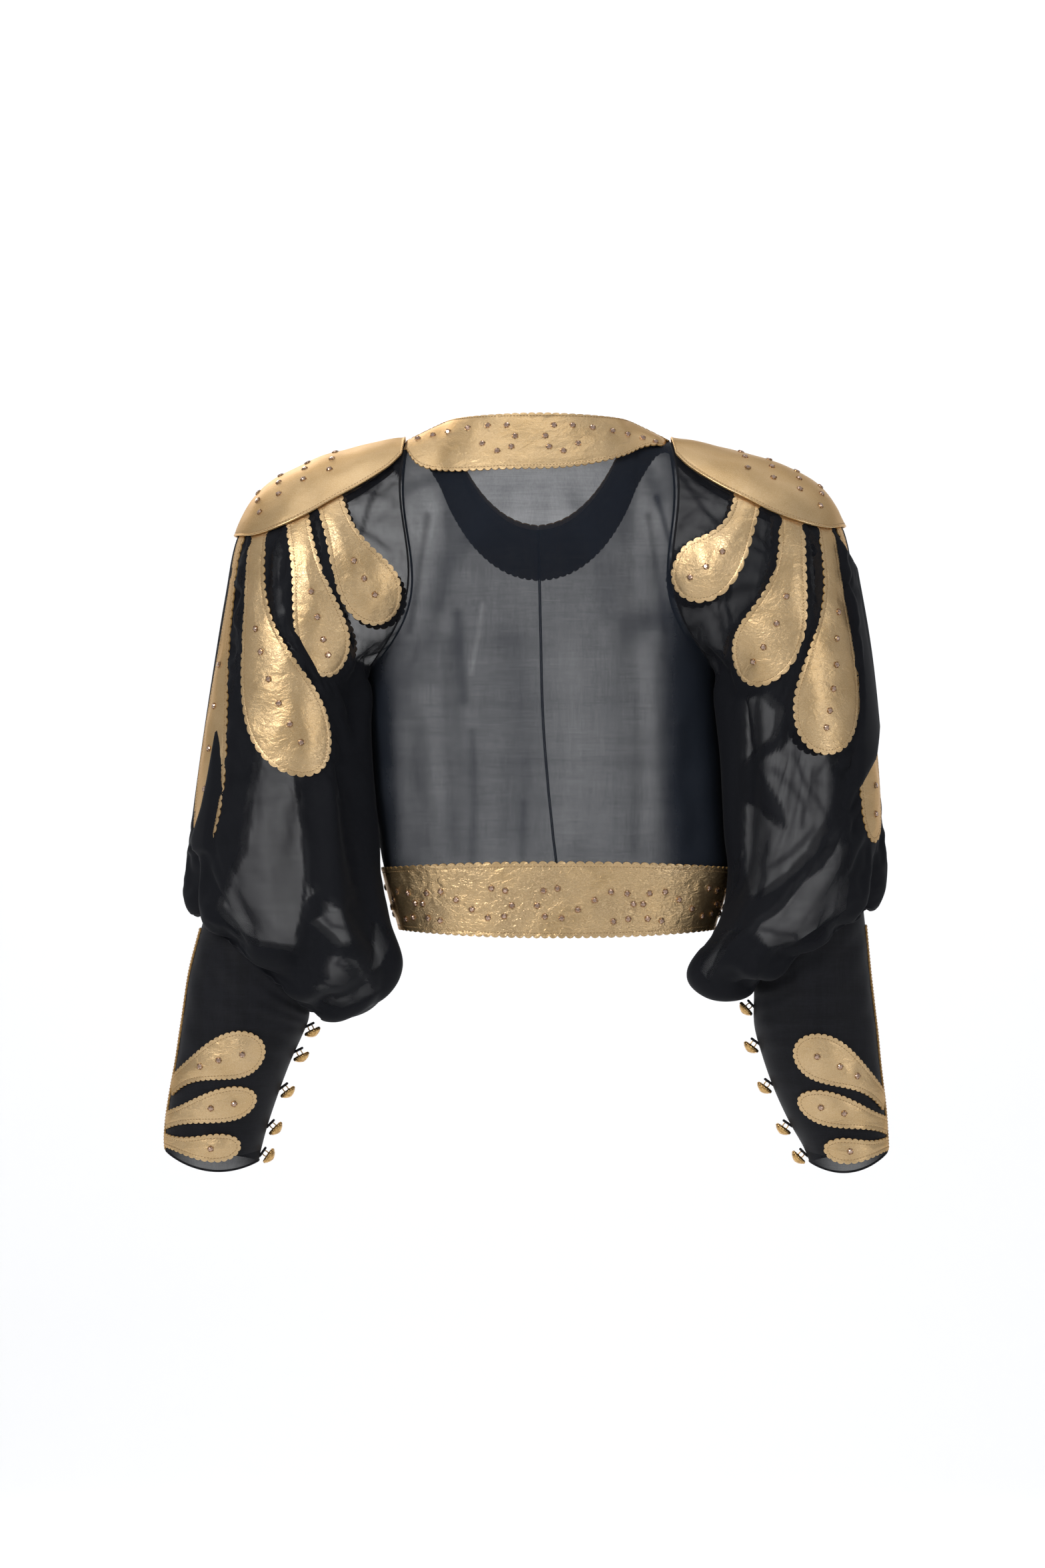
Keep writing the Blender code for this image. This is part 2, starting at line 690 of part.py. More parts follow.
def height_over(unders, place, way, raised):
    """How far a place that is raised already has to move out to clear the pieces under it."""
    reach, heights = 9, []
    for tree, missed, clear in unders:
        hit = tree.ray_cast(Vector(place + way * reach), Vector(-way), 2 * reach + 6)[0]
        height = missed - raised if hit is None else (np.array(hit) - place) @ way
        near = tree.find_nearest(Vector(place), clear)[3]
        heights.append(max(height, -99 if near is None else -near) + clear)
    return max(heights)


def tree_of(bodies):
    """The faces of several bodies, to be measured against."""
    points, faces, count = [], [], 0
    for body_points, body_faces in bodies:
        points.extend(body_points.tolist())
        faces.extend([[k + count for k in face] for face in body_faces])
        count += len(body_points)
    return BVHTree.FromPolygons(points, faces)


def build(name, body, material):
    """Makes one named object."""
    points, faces = body
    mesh = bpy.data.meshes.new(name)
    mesh.from_pydata((points * MM).tolist(), [], faces)
    mesh.materials.append(material)
    mesh.shade_smooth()
    mesh.set_sharp_from_angle(angle=math.radians(40))
    item = bpy.data.objects.new(name, mesh)
    bpy.context.scene.collection.objects.link(item)


def cloth_surface():
    """The body panels and the upper sleeves as one surface."""
    surface = Surface()
    heights = np.array(CLOTH_HEIGHTS, float)
    shares = np.linspace(0, 1, ARMHOLE_STEPS + 1)[1:]
    for name, face, columns in body_columns():
        lower = [lower_body_point(face, np.full(columns.shape, z), columns) for z in heights]
        grid = np.concatenate([np.array(lower), upper_rows(face, columns, shares)])
        grid = front_edge(press_folds(grid, face, columns), name)
        surface.add_grid(name, grid, turned=face == "back")
    angles = np.linspace(0, 2 * math.pi, ROUND_STEPS + 1)[:-1]
    angles = (angles + math.pi) % (2 * math.pi) - math.pi
    for side in SIDES:
        rings = (len(SLEEVE_ROWS[side]) - 1) * np.linspace(0, 1, SLEEVE_STEPS + 1)
        grid = mirrored(sleeve_grid(side, rings, angles), side)
        surface.add_grid(f"sleeve_{side}", grid, turned=side == "left", closed=True)
    return surface


def forearm_surface():
    """The fitted lower sleeves. The first ring is tucked inside the upper sleeve's end."""
    angles = np.linspace(0, 2 * math.pi, FOREARM_ROUND + 1)[:-1]
    surface = Surface()
    for side in SIDES:
        rings = (len(FOREARM_ROWS[side]) - 1) * np.linspace(0, 1, FOREARM_STEPS + 1)
        grid = mirrored(limb_point("forearm", side, rings[:, None], angles), side)
        surface.add_grid(f"forearm_{side}", grid, turned=side == "left", closed=True)
    return surface


def cloth_bodies(surface):
    normals, inwards = surface.directions()
    return {panel: surface.cloth_wall(panel, normals, inwards) for panel in surface.faces}


def petal_bodies(limb, under):
    """Petals, each a flat leaf of leather laid on the sleeve."""
    bodies = {}
    spread = np.linspace(-1, 1, PETAL_ACROSS + 1)
    for side in SIDES:
        for name, ring, angle, root, widest in petals_of(limb, side):
            line = limb_point(limb, side, ring, angle)
            heading = np.cross(limb_normal(limb, side, ring, angle), unit(np.gradient(line, axis=0)))
            half = petal_half_width(np.array(PETAL_STATIONS), root, widest)
            columns = [walk(limb, side, ring, angle, heading, half * share) for share in spread]
            grid = np.stack([limb_point(limb, side, *column) for column in columns], axis=1)
            surface = Surface()
            surface.add_grid("petal", mirrored(grid, side), turned=side == "left")
            body = surface.laid_wall("petal", [(under, 0, CLEAR)], LEATHER)
            bodies[f"{limb}_petal_{side}_{name}"] = body
    return bodies


def strip_bodies(under):
    """The narrow strip down the outer seam of each lower sleeve."""
    bodies = {}
    first, last, width = STRIP
    ring = np.linspace(first, last, STRIP_STEPS + 1)
    for side in SIDES:
        line = limb_point("forearm", side, ring, 0)
        heading = np.cross(limb_normal("forearm", side, ring, 0 * ring), unit(np.gradient(line, axis=0)))
        columns = [
            walk("forearm", side, ring, 0 * ring, heading, np.full(ring.shape, width * share))
            for share in (-0.5, 0, 0.5)
        ]
        grid = np.stack([limb_point("forearm", side, *column) for column in columns], axis=1)
        surface = Surface()
        surface.add_grid("strip", mirrored(grid, side), turned=side == "left")
        bodies[f"forearm_strip_{side}"] = surface.laid_wall("strip", [(under, 0, CLEAR)], LEATHER)
    return bodies


def collar_body(under):
    """The collar round the neck, joined over the shoulder seams. It stands off a little low down."""
    surface = Surface()
    fine = np.linspace(0.5, 1, 61)
    flare = {}
    for name, face, columns in body_columns():
        rows = front_edge(upper_rows(face, columns, fine), name)
        middle, edge = COLLAR_COVER[face]
        fall = np.cos(columns) ** 2
        if face == "back":
            fall = np.where(columns > 0, 1 - np.abs(columns / (math.pi / 2)) ** COLLAR_FULL, fall)
        cover = edge + (middle - edge) * fall
        grid = np.empty((COLLAR_STEPS + 1, len(columns), 3))
        for j in range(COLLAR_STEPS + 1):
            share = 1 - cover * (1 - j / COLLAR_STEPS)
            for i in range(len(columns)):
                grid[j, i] = [np.interp(share[i], fine, rows[:, i, axis]) for axis in range(3)]
        surface.add_grid("collar", grid, turned=face == "back")
        for j, i in itertools.product(range(COLLAR_STEPS + 1), range(len(columns))):
            away = (1 - j / COLLAR_STEPS) ** 2 * math.cos(columns[i]) ** 0.5
            flare[surface.point(grid[j, i])] = COLLAR_FLARE * away
    pulled_back(surface, "collar")
    return surface.laid_wall("collar", [(under, 0, 2 * CLEAR)], LEATHER, flare)


def pulled_back(surface, panel):
    """Draws the armhole edge of the collar back from the shoulder plate."""
    for k, place in enumerate(surface.points):
        tip = limb_point("sleeve", "left", 0, 0)[0]
        close = step(tip - 12, tip, abs(place[0])) * 0.8
        surface.points[k] = place - np.array([math.copysign(close, place[0]), 0, 0])


def belt_body(under):
    """The belt round the hem, open at the front."""
    surface = Surface()
    for name, face, columns in body_columns():
        rise = np.cos(columns) ** 2 * (1 if face == "back" else 0)
        top, low = BELT_TOP + BELT_RISE * rise, BELT_LOW - BELT_DIP * rise
        shares = np.linspace(0, 1, BELT_STEPS + 1)
        rows = [lower_body_point(face, low + (top - low) * share, columns) for share in shares]
        surface.add_grid("belt", front_edge(np.array(rows), name), turned=face == "back")
    return surface.laid_wall("belt", [(under, 0, CLEAR)], BELT)


def plate_bodies(unders):
    """The stiff plates over the shoulders. They stand off the sleeve, over the petals' roots."""
    bodies = {}
    spread = np.linspace(-1, 1, PLATE_ACROSS + 1)
    rings, halves = np.array(PLATE_ROWS, float).T
    for side in SIDES:
        grid = limb_point("sleeve", side, rings[:, None], np.radians(halves)[:, None] * spread)
        surface = Surface()
        surface.add_grid("plate", mirrored(grid, side), turned=side == "left")
        bodies[f"shoulder_plate_{side}"] = surface.laid_wall("plate", unders, PLATE)
    return bodies


def button_bodies():
    """Buttons on short stems. They hang from loops down the inner seam, so they tilt downwards."""
    bodies = {}
    turns = np.linspace(0, 2 * math.pi, BUTTON_SIDES + 1)[:-1]
    for side in SIDES:
        first, count = BUTTONS[side]
        for number, ring in enumerate(np.linspace(first, LAST_BUTTON, count)):
            seat = limb_point("forearm", side, ring, math.pi)
            normal = limb_normal("forearm", side, ring, math.pi)
            down = unit(np.array([0, 0, -1]) + normal[2] * normal)
            tilt = math.radians(np.interp(ring, (first, LAST_BUTTON), BUTTON_TILT))
            axis = normal * math.cos(tilt) + down * math.sin(tilt)
            across = unit(np.cross(axis, (0, 1, 0)))
            other = np.cross(axis, across)
            seat = seat + normal * (CLEAR + BUTTON_PROFILE[0][1] * math.sin(tilt))
            rings = [
                seat + axis * far + (np.outer(np.cos(turns), across) + np.outer(np.sin(turns), other)) * radius
                for far, radius in BUTTON_PROFILE
            ]
            points = mirrored(np.concatenate(rings), side)
            faces = []
            for level in range(len(BUTTON_PROFILE) - 1):
                for i in range(BUTTON_SIDES):
                    a, b = level * BUTTON_SIDES + i, level * BUTTON_SIDES + (i + 1) % BUTTON_SIDES
                    quad = [a, b, b + BUTTON_SIDES, a + BUTTON_SIDES]
                    faces += triangles(points, quad)
            last = (len(BUTTON_PROFILE) - 1) * BUTTON_SIDES
            for i in range(1, BUTTON_SIDES - 1):
                faces.append([0, i + 1, i])
                faces.append([last, last + i, last + i + 1])
            if side == "right":
                faces = [face[::-1] for face in faces]
            bodies[f"button_{side}_{number + 1}"] = (points, faces)
    return bodies


def main():
    for item in list(bpy.data.objects):
        bpy.data.objects.remove(item)
    black = finish("sheer_black_cloth", BLACK, 0.8, 0.0)
    gold = finish("gold_leather", GOLD, 0.38, 0.75)
    metal = finish("gilt_metal", GOLD, 0.3, 1.0)
    cloth, forearms = cloth_surface(), forearm_surface()
    panels = [name for name, _, _ in body_columns()]
    sleeves = [f"sleeve_{side}" for side in SIDES]
    upper, lower = cloth.tree(panels + sleeves), forearms.tree(forearms.faces)
    leather = petal_bodies("sleeve", upper)
    roots = tree_of(leather.values())
    leather.update(petal_bodies("forearm", lower))
    leather.update(strip_bodies(lower))
    leather["collar"] = collar_body(upper)
    leather["belt"] = belt_body(cloth.tree(panels))
    leather.update(plate_bodies([(upper, 0, PLATE_CLEAR), (roots, -99, 1.4 * CLEAR)]))
    for name, item in {**cloth_bodies(cloth), **cloth_bodies(forearms)}.items():
        build(name, item, black)
    for name, item in leather.items():
        build(name, item, gold)
    for name, item in button_bodies().items():
        build(name, item, metal)


main()
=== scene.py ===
# %% [markdown]
# # A cropped evening jacket of sheer black cloth and gold leather
#
# This scene dresses a fixed frame. The frame holds the jacket's pieces at their real size and place, as plain
# solids. Here each of them gets its cloth, leather, stitches, crystals and buttons. Tables are in
# millimetres, because a maker thinks in them, and are turned into metres when a mesh is made.

# %% Load the frame
import itertools
import json
import math
from functools import partial

import bmesh
import bpy
import numpy as np
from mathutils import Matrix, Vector
from mathutils.bvhtree import BVHTree

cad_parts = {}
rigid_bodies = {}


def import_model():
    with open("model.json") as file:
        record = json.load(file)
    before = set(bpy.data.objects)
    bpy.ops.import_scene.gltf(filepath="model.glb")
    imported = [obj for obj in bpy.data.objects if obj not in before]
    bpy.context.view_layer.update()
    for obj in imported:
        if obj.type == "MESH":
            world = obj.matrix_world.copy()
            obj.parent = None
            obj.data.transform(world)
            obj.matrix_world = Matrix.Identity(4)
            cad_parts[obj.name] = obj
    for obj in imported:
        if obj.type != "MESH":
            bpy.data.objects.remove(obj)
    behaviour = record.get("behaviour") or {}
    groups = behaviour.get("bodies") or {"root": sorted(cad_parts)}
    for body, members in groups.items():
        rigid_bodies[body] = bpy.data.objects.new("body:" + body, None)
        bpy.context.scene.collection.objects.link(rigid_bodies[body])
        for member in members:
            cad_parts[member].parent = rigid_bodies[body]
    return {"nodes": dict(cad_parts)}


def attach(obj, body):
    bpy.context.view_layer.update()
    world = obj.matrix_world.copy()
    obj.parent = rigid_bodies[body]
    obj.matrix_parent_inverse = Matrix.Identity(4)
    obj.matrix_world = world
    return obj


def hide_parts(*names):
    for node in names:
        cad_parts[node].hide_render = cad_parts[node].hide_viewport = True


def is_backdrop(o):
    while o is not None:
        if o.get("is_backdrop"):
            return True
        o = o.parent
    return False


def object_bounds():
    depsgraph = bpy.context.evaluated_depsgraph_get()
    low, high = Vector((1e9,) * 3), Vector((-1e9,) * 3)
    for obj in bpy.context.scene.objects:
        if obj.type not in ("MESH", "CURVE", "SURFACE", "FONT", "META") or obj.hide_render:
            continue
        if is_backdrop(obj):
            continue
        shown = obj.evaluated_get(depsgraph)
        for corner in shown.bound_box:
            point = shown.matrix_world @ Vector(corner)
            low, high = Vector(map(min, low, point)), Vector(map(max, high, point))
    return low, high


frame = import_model()
cad_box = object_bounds()
MM = 0.001
SIDES = ("left", "right")
FACES = {"back": 1, "front": -1}


def placed(name, data):
    """A new object in the scene that shows the given mesh, lamp or camera."""
    item = bpy.data.objects.new(name, data)
    bpy.context.scene.collection.objects.link(item)
    return item


print("frame:", len(frame["nodes"]), "nodes")

# %% [markdown]
# ## Where the camera stands
#
# The jacket is seen square on from behind, level with its middle. A long lens from far off keeps the
# near back and the far front at almost one scale. The view is twice as high as the jacket.

# %% Camera
VIEW_HEIGHT = 1.333
VIEW_CENTRE = (0.0135, -0.293)
NEAR_PLANE = 0.045
CAMERA_DISTANCE = 5.0
SENSOR = 36.0

lens = bpy.data.cameras.new("camera")
lens.sensor_fit = "VERTICAL"
lens.sensor_height = SENSOR
lens.lens = SENSOR * CAMERA_DISTANCE / VIEW_HEIGHT
lens.clip_end = 60
camera = placed("camera", lens)
camera.location = (VIEW_CENTRE[0], NEAR_PLANE + CAMERA_DISTANCE, VIEW_CENTRE[1])
camera.rotation_euler = (math.radians(90), 0, math.radians(180))
bpy.context.scene.camera = camera
print("lens:", round(lens.lens), "mm")

# %% [markdown]
# ## A plain pale stage
#
# The floor runs back and curves up into a wall, so no line shows behind the jacket. The wearer's
# shoulders are about 1.4 m above the floor. The lights are large soft panels, because polished leather
# shows whatever is round it.

# %% Stage and lights
FLOOR_Z = -1.40
FLOOR_FRONT = 7.5
STAGE_HALF_WIDTH = 7
STAGE_REACH = 4.2
STAGE_CURVE = 1.6
STAGE_HEIGHT = 4.0

sweep = [(FLOOR_FRONT, FLOOR_Z)]
for turn in np.linspace(0, math.pi / 2, 17):
    sweep.append((-STAGE_REACH - STAGE_CURVE * math.sin(turn), FLOOR_Z + STAGE_CURVE * (1 - math.cos(turn))))
sweep.append((-STAGE_REACH - STAGE_CURVE, FLOOR_Z + STAGE_HEIGHT))
stage_points = [(x, y, z) for x in (-STAGE_HALF_WIDTH, STAGE_HALF_WIDTH) for y, z in sweep]
stage_faces = [(i, i + 1, i + 1 + len(sweep), i + len(sweep)) for i in range(len(sweep) - 1)]
stage_mesh = bpy.data.meshes.new("floor")
stage_mesh.from_pydata(stage_points, [], stage_faces)
stage_mesh.shade_smooth()
floor = placed("floor", stage_mesh)
stage_paint = bpy.data.materials.new("pale_stage")
stage_paint.use_nodes = True
stage_shader = stage_paint.node_tree.nodes["Principled BSDF"]
stage_shader.inputs["Base Color"].default_value = (0.93, 0.93, 0.93, 1)
stage_shader.inputs["Roughness"].default_value = 0.9
stage_mesh.materials.append(stage_paint)
floor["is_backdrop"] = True

PANELS = {
    "key": ((1.9, 2.6, 1.25), (0, 0, -0.25), (1.3, 1.7), 50),
    "fill": ((-2.5, 2.2, 0.2), (0, 0, -0.3), (1.0, 2.2), 14),
    "top": ((0.2, 0.4, 2.3), (0, 0, -0.1), (2.2, 1.4), 12),
    "backdrop": ((0, -1.6, 2.5), (0, -5.4, -0.3), (5.5, 1.6), 160),
    "front": ((1.2, -3.0, 1.6), (0, 0, -0.3), (1.6, 1.6), 18),
}
for name, (place, aim, size, power) in PANELS.items():
    lamp = bpy.data.lights.new(name, "AREA")
    lamp.shape = "RECTANGLE"
    lamp.size, lamp.size_y = size
    lamp.energy = power
    panel = placed(name, lamp)
    panel.location = place
    panel.rotation_euler = (Vector(aim) - Vector(place)).to_track_quat("-Z", "Y").to_euler()

world = bpy.data.worlds.new("studio")
world.use_nodes = True
world.node_tree.nodes["Background"].inputs["Color"].default_value = (0.93, 0.95, 1.0, 1)
world.node_tree.nodes["Background"].inputs["Strength"].default_value = 0.36
bpy.context.scene.world = world
bpy.context.scene.view_settings.view_transform = "Standard"
print("lights:", len(PANELS))

# %% [markdown]
# ## The form of the garment
#
# The body is a stack of rows from the hem to the neck. Each sleeve is a row of rings from the armhole to
# the wrist. A ring has an outer point, an inner point, a middle and a depth to the back and to the front.
# These are the sizes that the frame was made from, so the cloth lies where the solids are, apart from the
# fold at the underarm, which is set a little higher and lower here.

# %% Tables of rings and rows
SLEEVE_ROWS = {
    "left": (
        (112, 0, 150, -205, 0, 82, 84), (152, -8, 154, -214, 1, 94, 90), (196, -22, 157, -228, 3, 99, 94),
        (234, -45, 157, -248, 5, 99, 94), (256, -82, 153, -275, 7, 97, 92),
        (266, -132, 148, -305, 10, 94, 90), (276, -192, 143, -335, 12, 92, 88),
        (286, -256, 139, -366, 14, 91, 86), (295, -322, 130, -402, 17, 91, 84),
        (299, -366, 118, -442, 20, 86, 80), (297, -388, 138, -476, 19, 76, 71),
        (291, -400, 166, -488, 17, 62, 59), (287, -405, 195, -488, 14, 51, 50),
    ),
    "right": (
        (112, 0, 156, -205, 0, 82, 84), (152, -8, 160, -214, 1, 94, 90), (196, -20, 165, -228, 3, 99, 94),
        (236, -40, 166, -248, 5, 99, 94), (259, -74, 167, -275, 7, 97, 92),
        (269, -122, 168, -305, 10, 93, 90), (279, -180, 169, -335, 12, 89, 86),
        (286, -240, 171, -366, 14, 87, 84), (291, -302, 160, -408, 17, 87, 82),
        (293, -346, 131, -446, 20, 84, 78), (290, -374, 141, -468, 19, 74, 69),
        (285, -392, 165, -470, 17, 62, 58), (280, -400, 184, -462, 14, 51, 49),
    ),
}
FOREARM_ROWS = {
    "left": (
        (283, -398, 195.5, -481, 14, 49, 48), (290.5, -424, 196.5, -494, 13, 47.5, 46.5),
        (299, -458, 202, -508, 11, 47, 46), (305, -498, 212, -530, 8, 45, 44),
        (311, -535, 222, -556, 4, 43, 42), (317, -568, 231, -582, -1, 40, 39),
        (320, -592, 237, -603, -5, 39, 38), (320, -607, 240, -616, -8, 39, 38),
    ),
    "right": (
        (277.5, -393, 185, -455, 14, 49, 47), (280.5, -422, 184.5, -476, 13, 47.5, 46),
        (284, -458, 185, -500, 11, 47, 45), (289, -498, 192, -526, 8, 45, 43),
        (293, -535, 202, -554, 4, 43, 41), (297, -568, 215, -582, -1, 40, 39),
        (299, -592, 227, -603, -5, 38, 37), (300, -608, 233, -617, -8, 38, 37),
    ),
}
BODY_ROWS = (
    (-205, -3, 153, 98, 116), (-250, -5, 153, 97, 118), (-300, -9, 152, 94, 113), (-340, -13, 150, 92, 107),
    (-366, -16, 148, 88, 101), (-390, -16, 141, 86, 98), (-425, -16, 132, 85, 95),
)
BACK_PROFILE = ((-205, 98), (-150, 100), (-100, 96), (-60, 88), (-20, 74), (0, 63), (20, 52))
FRONT_PROFILE = ((-205, 116), (-150, 109), (-100, 96), (-70, 84))
SCOOP, LOW_SCOOP, SCOOP_RINGS = 21, 27, 2.6
LAP, LAP_RINGS, LAP_AT, LAP_WIDTH = 13, (0.7, 2.3, 9.2, 10.6), math.radians(150), math.radians(24)
CUFF_DIP = 11
LIMBS = {"sleeve": SLEEVE_ROWS, "forearm": FOREARM_ROWS}
HEM_Z, UNDERARM_Z = -411, -205
SIDE_ROUNDNESS = 0.86
NECK_HALF_WIDTH, NECK_SIDE_Z = 76, 17
NECK_DEPTH = {"back": (52, 20), "front": (-80, -70)}
NECK_ANGLE = math.radians(45)

# %% Reading the tables smoothly
def read_rows(rows, at):
    """Reads a table of numbers at row number `at`, smoothly between its rows."""
    rows = np.asarray(rows, float)
    last = len(rows) - 1
    at = np.clip(np.asarray(at, float), 0, last)
    low = np.minimum(at.astype(int), last - 1)
    share = (at - low)[..., None]
    before, here = rows[np.maximum(low - 1, 0)], rows[low]
    after, beyond = rows[low + 1], rows[np.minimum(low + 2, last)]
    return here + 0.5 * share * (
        (after - before)
        + share * (2 * before - 5 * here + 4 * after - beyond)
        + share**2 * (3 * (here - after) + beyond - before)
    )


def step(low, high, value):
    """Rises smoothly from 0 at low to 1 at high."""
    share = np.clip((value - low) / (high - low), 0, 1)
    return share * share * (3 - 2 * share)


def unit(vectors):
    length = np.linalg.norm(vectors, axis=-1, keepdims=True)
    return vectors / np.maximum(length, 1e-9)


def full_turn(count):
    """Angles at even steps, once round."""
    return np.linspace(0, 2 * math.pi, count + 1)[:-1]


def walked(points):
    """How far along a line of points each of them lies."""
    return np.concatenate([[0], np.cumsum(np.linalg.norm(np.diff(points, axis=0), axis=1))])


def read_line(at, known, values):
    """Reads several columns of numbers at once, as np.interp does one."""
    return np.stack([np.interp(at, known, column) for column in values.T], axis=-1)


def mirrored(points, side):
    """Sleeves are worked out on the wearer's left; the right one is turned over."""
    return points * np.array([1, 1, 1] if side == "left" else [-1, 1, 1], float)


def last_ring(limb, side):
    return len(LIMBS[limb][side]) - 1


def limb_point(limb, side, ring, angle):
    """A point on a sleeve without its folds. The angle runs from the outer line, + to the back."""
    ring, angle = np.broadcast_arrays(np.asarray(ring, float), np.asarray(angle, float))
    rows = read_rows(LIMBS[limb][side], ring)
    top_x, top_z, low_x, low_z, mid_y, back, front = np.moveaxis(rows, -1, 0)
    across, depth = np.cos(angle), np.sin(angle)
    x = (top_x + low_x) / 2 + (top_x - low_x) / 2 * across
    y = mid_y + np.where(depth > 0, back, front) * depth
    z = (top_z + low_z) / 2 + (top_z - low_z) / 2 * across
    if limb == "sleeve":
        x = x - (SCOOP - LOW_SCOOP * across) * np.abs(depth) ** 3 * (1 - step(0, SCOOP_RINGS, ring))
        aside = (angle - LAP_AT + math.pi) % (2 * math.pi) - math.pi
        lapped = step(*LAP_RINGS[:2], ring) * (1 - step(*LAP_RINGS[2:], ring))
        x = x - LAP * lapped * np.exp(-((aside / LAP_WIDTH) ** 2))
    else:
        last = last_ring(limb, side)
        z = z - CUFF_DIP * np.maximum(depth, 0) ** 2 * step(last - 2.5, last, ring)
    return np.stack([x, y, z], axis=-1)


def limb_slopes(limb, side, ring, angle):
    """How the point moves with the ring number and with the angle."""
    nudge = 0.02
    ring = np.clip(ring, nudge, last_ring(limb, side) - nudge)
    along = limb_point(limb, side, ring + nudge, angle) - limb_point(limb, side, ring - nudge, angle)
    around = limb_point(limb, side, ring, angle + nudge) - limb_point(limb, side, ring, angle - nudge)
    return along / (2 * nudge), around / (2 * nudge)


def limb_normal(limb, side, ring, angle):
    along, around = limb_slopes(limb, side, ring, angle)
    return unit(np.cross(along, around))


def worn_place(limb, side, ring, angle):
    """A point on a sleeve on its own side of the body, and the way out there."""
    found = limb_point(limb, side, ring, angle), limb_normal(limb, side, ring, angle)
    return tuple(mirrored(values, side) for values in found)


def walk(limb, side, ring, angle, heading, distance):
    """Goes a distance over a sleeve in a heading, and returns the ring numbers and angles there."""
    steps = 5
    for _ in range(steps):
        along, around = limb_slopes(limb, side, ring, angle)
        normal = unit(np.cross(along, around))
        flat = unit(heading - (heading * normal).sum(-1, keepdims=True) * normal)
        flat = flat * np.asarray(distance)[..., None] / steps
        aa, ab, bb = (along * along).sum(-1), (along * around).sum(-1), (around * around).sum(-1)
        fa, fb = (flat * along).sum(-1), (flat * around).sum(-1)
        det = aa * bb - ab * ab
        ring = ring + (fa * bb - fb * ab) / det
        angle = angle + (fb * aa - fa * ab) / det
    return ring, angle


print("left sleeve:", np.round(limb_point("sleeve", "left", 6, 0)), "is its outer line at ring 6")

# %% [markdown]
# ## Meshes out of grids
#
# Almost every piece of cloth or leather is a grid of points, because cloth has a warp and a weft. One
# helper joins the grid's points with four-cornered faces, and another turns millimetres into a mesh.

# %% Mesh helpers
def grid_faces(rows, columns, closed=False):
    """Faces of four corners between the rows and columns of a grid. A closed one joins its last column."""
    last = columns if closed else columns - 1
    row, column = np.meshgrid(np.arange(rows - 1), np.arange(last), indexing="ij")
    after = (column + 1) % columns
    low, high = row * columns, (row + 1) * columns
    return np.stack([low + column, low + after, high + after, high + column], axis=-1).reshape(-1, 4)


def piece(name, points, faces, materials, slots=None, smooth=True, flip=False):
    """Makes one object from points in millimetres. It rides on the jacket, which has no joints."""
    mesh = bpy.data.meshes.new(name)
    faces = [list(face)[::-1] if flip else list(face) for face in faces]
    mesh.from_pydata((np.asarray(points, float) * MM).tolist(), [], faces)
    for material in materials:
        mesh.materials.append(material)
    if slots is not None:
        mesh.polygons.foreach_set("material_index", np.asarray(slots, np.int32))
    if smooth:
        mesh.shade_smooth()
    item = placed(name, mesh)
    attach(item, "root")
    return item


def paint_values(item, name, values):
    """Keeps one number for each point of a mesh, for a material to read."""
    layer = item.data.attributes.new(name, "FLOAT", "POINT")
    layer.data.foreach_set("value", np.asarray(values, np.float32).ravel())


def soft_noise(points, size, seed, count=9):
    """Smooth bumps and hollows between about -1 and 1, made from a few waves that cross."""
    draw = np.random.default_rng(seed)
    total = np.zeros(points.shape[:-1])
    for _ in range(count):
        way = unit(draw.normal(size=3))
        length = size * draw.uniform(0.7, 1.6)
        total = total + np.sin(points @ way * 2 * math.pi / length + draw.uniform(0, 2 * math.pi))
    return total / math.sqrt(count)


def smoothed(item):
    """One subdivision, applied."""
    item.modifiers.new("smooth", "SUBSURF").levels = 1
    item.modifiers["smooth"].render_levels = 1
    bpy.context.view_layer.objects.active = item
    with bpy.context.temp_override(object=item, active_object=item, selected_objects=[item]):
        bpy.ops.object.modifier_apply(modifier="smooth")


def read_mesh(item):
    """The points of a mesh in millimetres, and the way out at each."""
    places = np.empty((len(item.data.vertices), 3))
    ways = np.empty_like(places)
    item.data.vertices.foreach_get("co", places.ravel())
    item.data.vertices.foreach_get("normal", ways.ravel())
    return places / MM, ways

# %% [markdown]
# ## Finishes
#
# Three effects serve more than one material, so each is a node group: creases in foiled leather, uneven
# yarns in thin cloth, and the dull film that clouds a bright metal. The groups give masks and heights.
# The shaders stay in the materials.

# %% Node helpers
def node_group(name, inputs, outputs):
    """An empty node group with named number sockets, and its input and output nodes."""
    group = bpy.data.node_groups.new(name, "ShaderNodeTree")
    for label, value in inputs:
        socket = group.interface.new_socket(label, in_out="INPUT", socket_type="NodeSocketFloat")
        socket.default_value = value
    for label in outputs:
        group.interface.new_socket(label, in_out="OUTPUT", socket_type="NodeSocketFloat")
    return group, group.nodes.new("NodeGroupInput"), group.nodes.new("NodeGroupOutput")


def feed(tree, socket, value):
    """Gives a socket a plain number or three, or links another socket to it."""
    if isinstance(value, (int, float, tuple)):
        socket.default_value = value
    else:
        tree.links.new(value, socket)


def maths(tree, kind, *values):
    """One Math node. Each value is a socket or a plain number."""
    node = tree.nodes.new("ShaderNodeMath")
    node.operation = kind
    for socket, value in zip(node.inputs, values):
        feed(tree, socket, value)
    return node.outputs[0]


def vector_maths(tree, kind, first, second):
    """One Vector Math node. The second value is a socket or three plain numbers."""
    node = tree.nodes.new("ShaderNodeVectorMath")
    node.operation = kind
    tree.links.new(first, node.inputs[0])
    feed(tree, node.inputs[1], second)
    return node.outputs[0]


